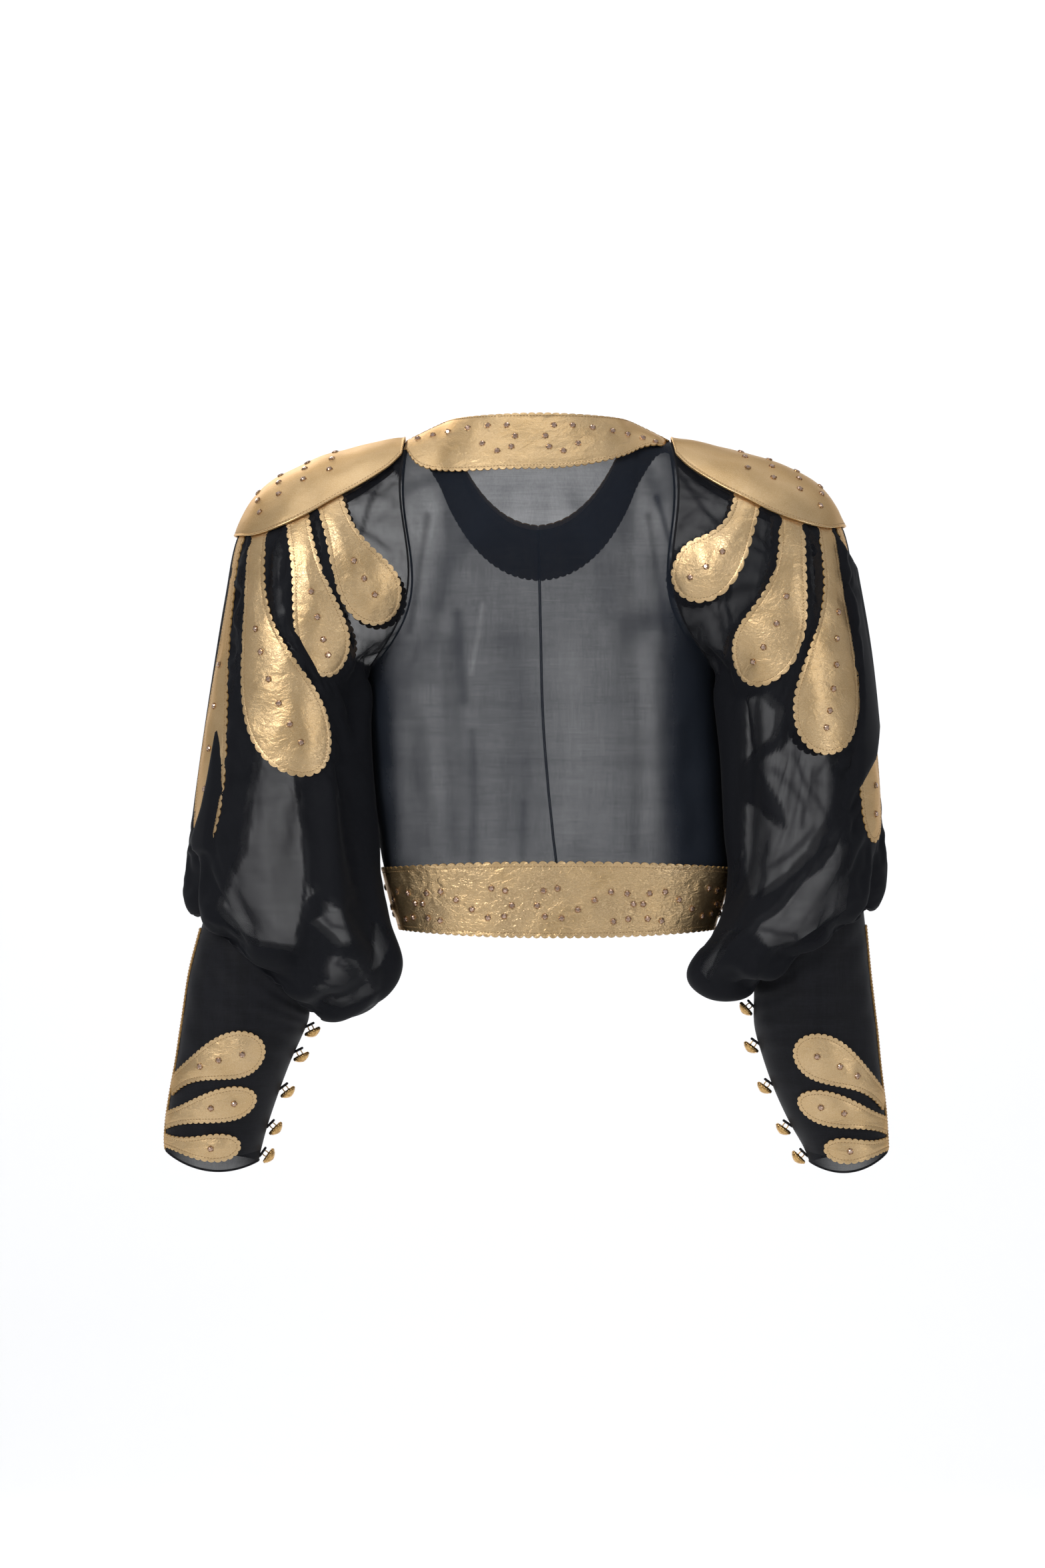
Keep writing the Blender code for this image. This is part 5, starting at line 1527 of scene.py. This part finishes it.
# %% Shoulder plates
PLATE_LIFT = 2.5
PLATE_TIP = (4.0, 0.0)
plate_places = {}
for side in SIDES:
    place = partial(worn_place, "sleeve", side)
    rows = read_rows(PLATE_ROWS + (PLATE_TIP,), np.linspace(0, len(PLATE_ROWS), 240))
    first, second, edge = leaf_outline(rows[:, 0], np.radians(np.maximum(rows[:, 1], 0)), place, PLATE_ROOT,
                                       "sleeve")
    ribs, outward = ribs_between(first, second, np.clip(first, 1.0, 3.0), place)
    key = f"shoulder_plate_{side}"
    leather[key], top, ways = leaf_of_leather(
        f"{key}_leather", ribs, outward, 0 * edge, PLATE_LIFT, PLATE, SMOOTH_FACES, 0.5, 61,
        groove=0.18, uneven=0.5, core_steps=9)
    stitch_lines[key] = (top[:-PLATE_ROOT, STITCH_ROW], ways[:-PLATE_ROOT, STITCH_ROW])
    plate_places[side] = (place, top, ways)
print("plates:", len(plate_places))

# %% [markdown]
# ## Collar and belt
#
# Both run all the way round, from one front edge to the other, and are open at the middle of the front.

# %% Bands round the body
AROUND_BODY = (("front", 0.0, math.pi / 2), ("back", math.pi / 2, -math.pi / 2), ("front", -math.pi / 2, 0.0))
COLLAR_LIFT, COLLAR_FLARE, BELT_LIFT = 0.85, 2.2, 0.6
COLLAR_SHARES = np.linspace(0.5, 1, 61)
COLLAR_RIB, BELT_RIB, PART_STEPS = 14, 12, 161


def collar_ribs(face, columns):
    """Ribs of the collar from its outer edge to the neck."""
    rows = upper_rows(face, columns, COLLAR_SHARES)
    rows = close_front(rows, face) if np.ptp(columns) else rows
    middle, edge = COLLAR_COVER[face]
    fall = np.cos(columns) ** 2
    if face == "back":
        fall = np.where(columns > 0, 1 - np.abs(columns / (math.pi / 2)) ** COLLAR_FULL, fall)
    cover = edge + (middle - edge) * fall
    ribs = np.empty((len(columns), COLLAR_RIB, 3))
    for i, wide in enumerate(cover):
        ribs[i] = read_line(1 - wide * (1 - np.linspace(0, 1, COLLAR_RIB)), COLLAR_SHARES, rows[:, i])
    tip = limb_point("sleeve", "left", 0, 0)[0]
    close = step(tip - 12, tip, np.abs(ribs[..., 0])) * 0.9
    ribs[..., 0] -= np.sign(ribs[..., 0]) * close
    return ribs


def belt_ribs(face, columns):
    """Ribs of the belt from its lower edge to its upper one."""
    rise = np.cos(columns) ** 2 * (1 if face == "back" else 0)
    top, low = BELT_TOP + BELT_RISE * rise, BELT_LOW - BELT_DIP * rise
    shares = np.linspace(0, 1, BELT_RIB)
    rows = [lower_body_point(face, low + (top - low) * share, columns) for share in shares]
    return close_front(np.stack(rows, axis=1), face)


def run_round(make_ribs, kind):
    """Ribs all round the body, at equal steps along the outer edge, with each rib's way out."""
    coarse = np.concatenate([make_ribs(face, np.linspace(start, end, PART_STEPS))[:, 0]
                             for face, start, end in AROUND_BODY])
    order = np.concatenate([n + np.linspace(0, 1, PART_STEPS) for n in range(len(AROUND_BODY))])
    keep = np.concatenate([[True], np.linalg.norm(np.diff(coarse, axis=0), axis=1) > 1e-6])
    coarse, order = coarse[keep], order[keep]
    count = POINTS_EACH * round(line_length(coarse) / SCALLOPS[kind][0])
    at = np.interp(resample(coarse, count + 1) * (len(coarse) - 1), np.arange(len(coarse)), order)
    part = np.minimum(at.astype(int), 2)
    ribs, columns = [], []
    for n, (face, start, end) in enumerate(AROUND_BODY):
        angles = start + (end - start) * (at[part == n] - n)
        ribs.append(make_ribs(face, angles))
        columns.append(angles)
    ribs = np.concatenate(ribs)
    along, across = np.gradient(ribs, axis=0), np.gradient(ribs, axis=1)
    outward = unit(np.cross(across, along))
    middle = ribs.mean(axis=(0, 1)) * (1, 1, 0)
    if ((outward * (ribs * (1, 1, 0) - middle)).sum(axis=-1)).mean() < 0:
        outward = -outward
    return ribs, outward, np.concatenate(columns)


def belt_wrinkles(places):
    """Sharp small creases across the belt, strong towards the wearer's left."""
    strong = 0.25 + 0.9 * step(20, 110, places[..., 0]) + 0.35 * step(60, 140, -places[..., 0])
    waves = soft_noise(places * (1.0, 0.8, 0.35), 10, 71, 12)
    return -0.35 * strong * np.clip(np.abs(waves) - 0.25, 0, 1.4) * np.where(places[..., 1] > 0, 1, 0.6)


def calmed(rows, reach):
    """Rounds off corners along a run of ribs, by a soft average over its neighbours."""
    kernel = np.exp(-((np.arange(-3 * reach, 3 * reach + 1) / reach) ** 2) / 2)
    kernel /= kernel.sum()
    padding = [(3 * reach, 3 * reach)] + [(0, 0)] * (rows.ndim - 1)
    padded = np.pad(rows, padding, mode="reflect", reflect_type="odd")
    return np.apply_along_axis(lambda line: np.convolve(line, kernel, mode="valid"), 0, padded)


ribs, outward, columns = run_round(collar_ribs, "collar")
ribs, outward = calmed(ribs, 7), unit(calmed(outward, 9))
flare = np.sqrt(np.maximum(np.cos(columns), 0))[:, None] * COLLAR_FLARE
leather["collar"], top, ways = band_of_leather(
    "collar_leather", ribs, outward, "collar",
    lambda share: COLLAR_LIFT + flare * (1 - np.clip(share, 0, 1)) ** 2, LEATHER, PETAL_FACES,
    middle=8, uneven=0.45, seed=81)
collar_lines = (top, ways)

ribs, outward, _ = run_round(belt_ribs, "belt")
leather["belt"], top, ways = band_of_leather(
    "belt_leather", ribs, outward, "belt", BELT_LIFT, BELT, CREASED_FACES, middle=16, uneven=0.35,
    seed=91, wrinkles=belt_wrinkles)
belt_grid = (top, ways)
for name, (top, ways) in {"collar": collar_lines, "belt": belt_grid}.items():
    for row in (STITCH_ROW, -1 - STITCH_ROW):
        stitch_lines[f"{name}_{row}"] = (top[:, row], ways[:, row])
print("leather pieces:", len(leather))

# %% [markdown]
# ## Strips over the outer seam of the lower sleeves

# %% Strips
STRIP_RINGS, STRIP_WIDTH, STRIP_LIFT = (0.75, 6.8), 12, 0.12
for side in SIDES:
    ring = np.linspace(*STRIP_RINGS, 200)
    line = limb_point("forearm", side, ring, 0)
    count = POINTS_EACH * round(line_length(line) / SCALLOPS["forearm"][0])
    ring = np.interp(resample(line, count + 1), np.linspace(0, 1, len(ring)), ring)
    line = limb_point("forearm", side, ring, 0)
    heading = np.cross(limb_normal("forearm", side, ring, 0 * ring), unit(np.gradient(line, axis=0)))
    across = STRIP_WIDTH * (np.linspace(0, 1, 7) - 0.5) * np.ones((len(ring), 1))
    headings = heading[:, None] + 0 * across[..., None]
    rings, angles = walk("forearm", side, ring[:, None] + 0 * across, 0 * across, headings, across)
    key = f"forearm_strip_{side}"
    leather[key], top, ways = band_of_leather(
        f"{key}_leather", *worn_place("forearm", side, rings, angles), "forearm", STRIP_LIFT, LEATHER,
        PETAL_FACES, middle=1, uneven=0.15, seed=95)
    stitch_lines[key] = (top[:, top.shape[1] // 2], ways[:, top.shape[1] // 2])
print("leather pieces:", len(leather))

# %% [markdown]
# ## Stitches, piping and seams
#
# The stitches are short separate threads, laid in the groove a little inside each cut edge. Thin tubes
# make the piping of the shoulder plates, the turned seams and the rolled hems.

# %% Thread and tubes
STITCH_STEP, STITCH_LENGTH, STITCH_RADIUS, STITCH_RISE = 2.8, 1.9, 0.30, 0.10


def along_line(points, ways, step_length, nudge=0.4):
    """Places at even steps along a line of points, with the way along and the way out at each."""
    length = walked(points)
    count = max(2, round(length[-1] / step_length))
    at = (np.arange(count) + 0.5) * length[-1] / count
    along = unit(read_line(at + nudge, length, points) - read_line(at - nudge, length, points))
    return read_line(at, length, points), along, unit(read_line(at, length, ways))


def copies(shape_points, shape_faces, places, frames):
    """Copies of one small shape at many places, each turned by its own three ways."""
    points = places[:, None] + np.einsum("kc,ncd->nkd", shape_points, frames)
    count = len(shape_points)
    faces = [[k + n * count for k in face] for n in range(len(places)) for face in shape_faces]
    return points.reshape(-1, 3), faces


# A thread has a point at each end and two square rings between, here for a length and a radius of 1
THREAD_RINGS = [(x, math.cos(turn), 0.8 * math.sin(turn)) for x in (-0.30, 0.30) for turn in full_turn(4)]
THREAD_SIZE = (STITCH_LENGTH, STITCH_RADIUS, STITCH_RADIUS)
THREAD_POINTS = np.array([(-0.5, 0, 0), *THREAD_RINGS, (0.5, 0, 0)]) * THREAD_SIZE
THREAD_FACES = [(0, 1 + (i + 1) % 4, 1 + i) for i in range(4)]
THREAD_FACES += [(1 + i, 1 + (i + 1) % 4, 5 + (i + 1) % 4, 5 + i) for i in range(4)]
THREAD_FACES += [(9, 5 + i, 5 + (i + 1) % 4) for i in range(4)]


def threads(name, lines):
    """All the stitches of several lines, as one piece."""
    points, faces, count = [], [], 0
    for line, ways in lines:
        places, along, outs = along_line(line, ways, STITCH_STEP)
        frames = np.stack([along, np.cross(outs, along), outs], axis=1)
        more, sides = copies(THREAD_POINTS, THREAD_FACES, places + outs * STITCH_RISE, frames)
        points.append(more)
        faces += [[k + count for k in side] for side in sides]
        count += len(more)
    return piece(name, np.concatenate(points), faces, [gold_thread])


def tube(name, line, ways, size, material, sides=8, closed=False):
    """A tube along a line, with its width and its height given."""
    ahead = np.roll(line, -1, axis=0) - np.roll(line, 1, axis=0) if closed else np.gradient(line, axis=0)
    along = unit(ahead)
    across = unit(np.cross(ways, along))
    turns = full_turn(sides)[:, None, None]
    ring = np.cos(turns) * across * size[0] / 2 + np.sin(turns) * np.cross(along, across) * size[1] / 2
    count = len(line)
    faces = (grid_faces(sides + 1, count, closed) % (sides * count)).tolist()
    if not closed:
        faces += [list(range(0, sides * count, count)), list(range(count - 1, sides * count, count))[::-1]]
    return piece(name, (line + ring).reshape(-1, 3), faces, [material], flip=True)


stitch_groups = {}
for key, line in stitch_lines.items():
    words = key.split("_")
    if words[0] in ("collar", "belt"):
        group = words[0]
    else:
        group = "_".join(words[:3])
    stitch_groups.setdefault(group, []).append(line)
sewn = {group: threads(f"stitches_{group}", lines) for group, lines in stitch_groups.items()}
print("stitch groups:", list(sewn))

# %% Piping and seams
PIPING_SIZE, ARMHOLE_SIZE, CUFF_SIZE = (1.7, 1.5), (1.9, 1.1), (2.0, 1.3)
SIDE_SIZE, FRONT_SIZE = (1.6, 1.0), (1.1, 0.9)
HEM_PLACES = {"front_left": (0, 0.2, -1.2), "front_right": (-1, -0.95, 0.0)}
seams, piping = [], {}
ring_turns = full_turn(180)
for side in SIDES:
    _, top, ways = plate_places[side]
    piping[side] = tube(f"piping_{side}", top[:, 0] - ways[:, 0] * 0.5, ways[:, 0], PIPING_SIZE, piping_gold,
                        closed=True)

    armhole, _ = worn_place("sleeve", side, 0.02, ring_turns)
    _, armhole_out = worn_place("sleeve", side, 0.3, ring_turns)
    seams.append(tube(f"armhole_seam_{side}", armhole, armhole_out, ARMHOLE_SIZE, seam_cloth, closed=True))

    hem = worn_place("forearm", side, last_ring("forearm", side), ring_turns)
    seams.append(tube(f"cuff_hem_{side}", *hem, CUFF_SIZE, seam_cloth, closed=True))

    side_z = np.linspace(BELT_TOP + 6, UNDERARM_Z - 1, 40)
    turn = math.pi / 2 if side == "left" else -math.pi / 2
    line = lower_body_point("back", side_z, np.full(side_z.shape, turn))
    out = np.sign(line) * (1, 0, 0)
    seams.append(tube(f"side_seam_{side}", line - out * 0.3, out, SIDE_SIZE, seam_cloth, sides=6))
for name, (column, aside, before) in HEM_PLACES.items():
    edge = body_grids[name][:, column]
    edge = edge[edge[:, 2] > BELT_TOP - 4] + (aside, before, 0)
    out = np.tile((0, -1.0, 0), (len(edge), 1))
    seams.append(tube(f"{name}_hem", edge, out, FRONT_SIZE, seam_cloth, sides=6))
print("seams:", len(seams))

# %% [markdown]
# ## Set crystals
#
# Each crystal is a small faceted stone in a metal cup, held by five bent claws. They follow the middle
# line of each petal, and lie in rows across the shoulder plates. On the collar and on the belt they run in
# plain scrolls.

# %% One crystal
STONE_SIDES, CUP_SIDES, CLAWS, CRYSTAL_SIZE = 8, 10, 5, 1.25
STONE_RINGS = ((1.95, 0.05, 0), (1.95, 0.45, 0), (1.05, 1.30, math.pi / STONE_SIDES))
CUP_RINGS = ((2.25, -0.15), (2.15, 0.35), (1.80, 0.40))
CLAW_RINGS = ((2.35, 0.0, 0.42), (2.2, 0.85, 0.36), (1.35, 1.15, 0.22))
CLAW_THICK, CRYSTAL_LEAN = 0.32, 0.07


def crystal_shape():
    """Points, faces and material numbers of a stone with its cup and claws, standing on the origin."""
    points, faces = [], []
    for radius, height, shift in STONE_RINGS:
        points += [(radius * math.cos(t + shift), radius * math.sin(t + shift), height)
                   for t in full_turn(STONE_SIDES)]
    for i in range(STONE_SIDES):
        j = (i + 1) % STONE_SIDES
        low, high = STONE_SIDES, 2 * STONE_SIDES
        faces += [(i, j, low + j, low + i), (low + i, low + j, high + i), (low + j, high + j, high + i)]
    faces.append(range(2 * STONE_SIDES, 3 * STONE_SIDES))
    slots = [0] * len(faces)
    faces += (len(points) + grid_faces(3, CUP_SIDES, closed=True)).tolist()
    for radius, height in CUP_RINGS:
        points += [(radius * math.cos(t), radius * math.sin(t), height) for t in full_turn(CUP_SIDES)]
    for claw in range(CLAWS):
        turn = (claw + 0.5) * 2 * math.pi / CLAWS
        base = len(points)
        for radius, height, half in CLAW_RINGS:
            for aside, lower in ((-half, 0), (half, 0), (half, -CLAW_THICK), (-half, -CLAW_THICK)):
                out, up = (radius + lower * 0.8, height) if height < 1 else (radius, height + lower)
                points.append((out * math.cos(turn) - aside * math.sin(turn),
                               out * math.sin(turn) + aside * math.cos(turn), up))
        faces += (base + grid_faces(3, 4, closed=True)).tolist() + [range(base + 8, base + 12)]
    return np.array(points, float) * CRYSTAL_SIZE, faces, slots + [1] * (len(faces) - len(slots))


leather_trees = {}


def on_leather(key, place, way, reach=14):
    """The point on a piece of leather over a place, and the way out there."""
    if key not in leather_trees:
        mesh = leather[key].data
        corners = [Vector(vertex.co) / MM for vertex in mesh.vertices]
        leather_trees[key] = BVHTree.FromPolygons(corners, [list(face.vertices) for face in mesh.polygons])
    hit, normal, _, _ = leather_trees[key].ray_cast(Vector(place + way * reach), Vector(-way), 2 * reach)
    if hit is None:
        return None
    return np.array(hit), unit(np.array(way) + 0.5 * np.array(normal))


def set_crystals(name, spots):
    """One piece with all the crystals of a group. Each spot is a point and the way out there."""
    draw = np.random.default_rng(len(spots) * 7 + len(name))
    shape_points, shape_faces, shape_slots = crystal_shape()
    spots = [spot for spot in spots if spot is not None]
    places = np.array([spot[0] for spot in spots])
    outs = unit(np.array([spot[1] for spot in spots]) + draw.normal(size=places.shape) * CRYSTAL_LEAN)
    first = unit(np.cross(outs, unit(draw.normal(size=places.shape))))
    frames = np.stack([first, np.cross(outs, first), outs], axis=1)
    points, faces = copies(shape_points, shape_faces, places, frames)
    return piece(name, points, faces, [crystal_foil, claw_metal], shape_slots * len(spots), smooth=False)


# %% Crystals on petals, plates, collar and belt
SLEEVE_STONES = {
    "left": ((0.54, 0.68, 0.81), (0.48, 0.63, 0.77, 0.87), (0.41, 0.50, 0.61, 0.71, 0.80, 0.88)),
    "right": ((0.57, 0.74, 0.88), (0.48, 0.64, 0.79, 0.89), (0.42, 0.53, 0.64, 0.74, 0.83, 0.90)),
}
OUTER_STONES = (0.46, 0.58, 0.70, 0.81, 0.90)
FOREARM_STONES = ((0.44, 0.61, 0.81), (0.60, 0.80), (0.70,))
PLATE_STONE_RINGS = (1.42, 1.95, 2.50, 3.02)
PLATE_STONE_ANGLES = (-31, -20, -8, 8, 20, 31)
PLATE_ROW_BEND = 0.16
COLLAR_MIDDLE, BELT_MIDDLE = 7.0, 12.0
COLLAR_SCROLL = (
    (20, 11.3), (36, 11.3), (53, 9.6), (70, 7.0), (83, 4.6), (96, 2.0), (107, -1.5), (12.8, 1.8),
    (16, -7.6), (28, -11.2), (40.6, -4.6),
)
SCROLL_HALF = ((7, -4), (21, -11), (35, -9.6), (40.7, -0.5), (36, 12), (23.5, 14))
SCROLL_CENTRES = (52, 142, 232, 316)
BELT_MIDDLE_Z = -395.0
spots = {}


def add_spot(group, key, place, way, **reach):
    """Adds a crystal to a group, over a place on a piece of leather."""
    spots.setdefault(group, []).append(on_leather(key, place, way, **reach))


for (limb, side), found in PETALS.items():
    shares = (*SLEEVE_STONES[side], OUTER_STONES) if limb == "sleeve" else FOREARM_STONES
    for petal in found:
        key = f"{limb}_petal_{side}_{petal[0]}"
        for share in shares[int(petal[0][-1]) - 1]:
            places, ways = petal_tools[key](np.array([share]), np.array([0.0]))
            add_spot(f"{limb}_{side}", key, places[0], ways[0])
for side in SIDES:
    for ring, angle in itertools.product(PLATE_STONE_RINGS, PLATE_STONE_ANGLES):
        ring = ring + PLATE_ROW_BEND * abs(angle) / max(PLATE_STONE_ANGLES)
        places, ways = plate_places[side][0](np.array([ring]), np.radians(np.array([float(angle)])))
        add_spot(f"plate_{side}", f"shoulder_plate_{side}", places[0], ways[0])
for sign, (aside, z) in itertools.product((-1, 1), COLLAR_SCROLL):
    place = np.array([COLLAR_MIDDLE + sign * aside, 60.0, z])
    add_spot("collar", "collar", place, np.array([0, 1.0, 0]), reach=90)
top, ways = belt_grid
halfway = top.shape[1] // 2
line = top[:, halfway]
arc = walked(line)
behind = np.flatnonzero(line[:, 1] > 0)
middle_arc = arc[behind[np.argmin(np.abs(line[behind, 0] - BELT_MIDDLE))]]
for sign, (number, centre) in itertools.product((-1, 1), enumerate(SCROLL_CENTRES)):
    turned = -1 if number % 2 else 1
    for end, (aside, z) in itertools.product((-1, 1), SCROLL_HALF):
        at = middle_arc + sign * (centre - turned * end * aside)
        rib = int(np.argmin(np.abs(arc - at)))
        add_spot("belt", "belt", line[rib] * (1, 1, 0) + (0, 0, BELT_MIDDLE_Z + end * z), ways[rib, halfway])
crystals = {name: set_crystals(f"crystals_{name}", found) for name, found in spots.items()}
print("crystals:", sum(len(found) for found in spots.values()))

# %% [markdown]
# ## Buttons
#
# Small gilt buttons run down the inner seam of each lower sleeve. A ribbed dome sits in a plain rim. Each
# hangs by a wire shank from a loop of black cord.

# %% Buttons
BUTTONS, LAST_BUTTON = {"left": (1.3, 5), "right": (1.2, 5)}, 6.3
BUTTON_TILT = (44, 22)
CLEAR, STEM_RADIUS = 0.4, 1.5
DOME = ((5.2, 0.0), (5.2, 3.4), (5.3, 5.4), (5.7, 6.5), (6.4, 7.0), (7.3, 7.15), (7.9, 6.9), (8.6, 6.5),
        (9.6, 5.6), (10.5, 4.3), (11.3, 2.7), (11.8, 1.3), (12.0, 0.0))
RIB_COUNT, RIB_RISE, DOME_SIDES = 20, 0.34, 80
RIM_STEPS, RIM_SIDES, RIM_RADIUS, RIM_AT, RIM_THICK = 60, 6, 6.95, 7.85, 0.42
SHANK_AT, SHANK_RADII, SHANK_THICK = 3.7, (3.1, 2.1), 0.5
CORD_AT, CORD_RADII, CORD_THICK = (0.9, 0.4), (4.2, 2.0), 1.2


def button_mesh():
    """Points and faces of a button, with its axis along the third number."""
    points = []
    turns = full_turn(DOME_SIDES)
    for far, radius in DOME:
        rib = RIB_RISE * np.cos(RIB_COUNT * turns) * step(5.2, 5.7, far) * (1 - step(7.3, 7.8, far))
        points += [((radius + r) * math.cos(t), (radius + r) * math.sin(t), far) for t, r in zip(turns, rib)]
    faces = grid_faces(len(DOME), DOME_SIDES, closed=True).tolist()
    rim = grid_faces(RIM_STEPS + 1, RIM_SIDES, closed=True) % (RIM_STEPS * RIM_SIDES)
    faces += (len(points) + rim).tolist()
    for turn, around in itertools.product(full_turn(RIM_STEPS), full_turn(RIM_SIDES)):
        out = RIM_RADIUS + RIM_THICK * math.cos(around)
        points.append((out * math.cos(turn), out * math.sin(turn), RIM_AT + RIM_THICK * math.sin(around)))
    return np.array(points, float), faces


def ring_of_wire(centre, first, second, radii, thick, steps=22, sides=6):
    """A closed loop of wire: its middle, its two ways and radii, and how thick it is."""
    turns = full_turn(steps)
    line = centre + np.outer(np.cos(turns) * radii[0], first) + np.outer(np.sin(turns) * radii[1], second)
    along = unit(np.roll(line, -1, axis=0) - np.roll(line, 1, axis=0))
    normal = np.cross(first, second)
    out = np.cross(along, normal)
    points = np.stack([line + thick * (math.cos(around) * out + math.sin(around) * normal)
                       for around in full_turn(sides)], axis=1)
    return points.reshape(-1, 3), grid_faces(steps + 1, sides, closed=True) % (steps * sides)


shape_points, shape_faces = button_mesh()
buttons, loops = {}, {}
for side in SIDES:
    first, count = BUTTONS[side]
    loop_points, loop_faces, used = [], [], 0
    for number, ring in enumerate(np.linspace(first, LAST_BUTTON, count)):
        seat, normal = limb_point("forearm", side, ring, math.pi), limb_normal("forearm", side, ring, math.pi)
        down = unit(np.array([0, 0, -1]) + normal[2] * normal)
        tilt = math.radians(np.interp(ring, (first, LAST_BUTTON), BUTTON_TILT))
        axis = normal * math.cos(tilt) + down * math.sin(tilt)
        across = unit(np.cross(axis, (0, 1, 0)))
        other = np.cross(axis, across)
        seat = seat + normal * (CLEAR + STEM_RADIUS * math.sin(tilt))
        middle = seat + axis * SHANK_AT
        shank_points, shank_faces = ring_of_wire(middle, axis, across, SHANK_RADII, SHANK_THICK)
        points = np.concatenate([seat + shape_points @ np.stack([across, other, axis]), shank_points])
        faces = shape_faces + (shank_faces + len(shape_points)).tolist()
        key = f"button_{side}_{number + 1}"
        buttons[key] = piece(f"{key}_gilt", mirrored(points, side), faces, [gilt_metal], flip=side == "right")
        middle = seat + axis * CORD_AT[0] + across * CORD_AT[1]
        cord_points, cord_faces = ring_of_wire(middle, across, other, CORD_RADII, CORD_THICK)
        loop_points.append(mirrored(cord_points, side))
        loop_faces += (cord_faces + used).tolist()
        used += len(cord_points)
    loops[side] = piece(f"button_loops_{side}", np.concatenate(loop_points), loop_faces, [cord_black],
                        flip=side == "right")
print("buttons:", len(buttons))

# %% [markdown]
# ## The solids that the dressed pieces replace
#
# The solids of the frame that the dressed pieces take the place of are hidden. The sizes of the frame
# and of the dressed jacket are kept side by side.

# %% Hidden solids and size
for side in SIDES:
    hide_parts(f"sleeve_{side}")
    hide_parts(f"forearm_{side}")
for name, panel in panels.items():
    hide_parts(name)
for name, item in leather.items():
    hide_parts(name)
for key, item in buttons.items():
    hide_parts(key)
size = {"cad": [list(corner) for corner in cad_box], "visual": [list(corner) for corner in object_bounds()]}
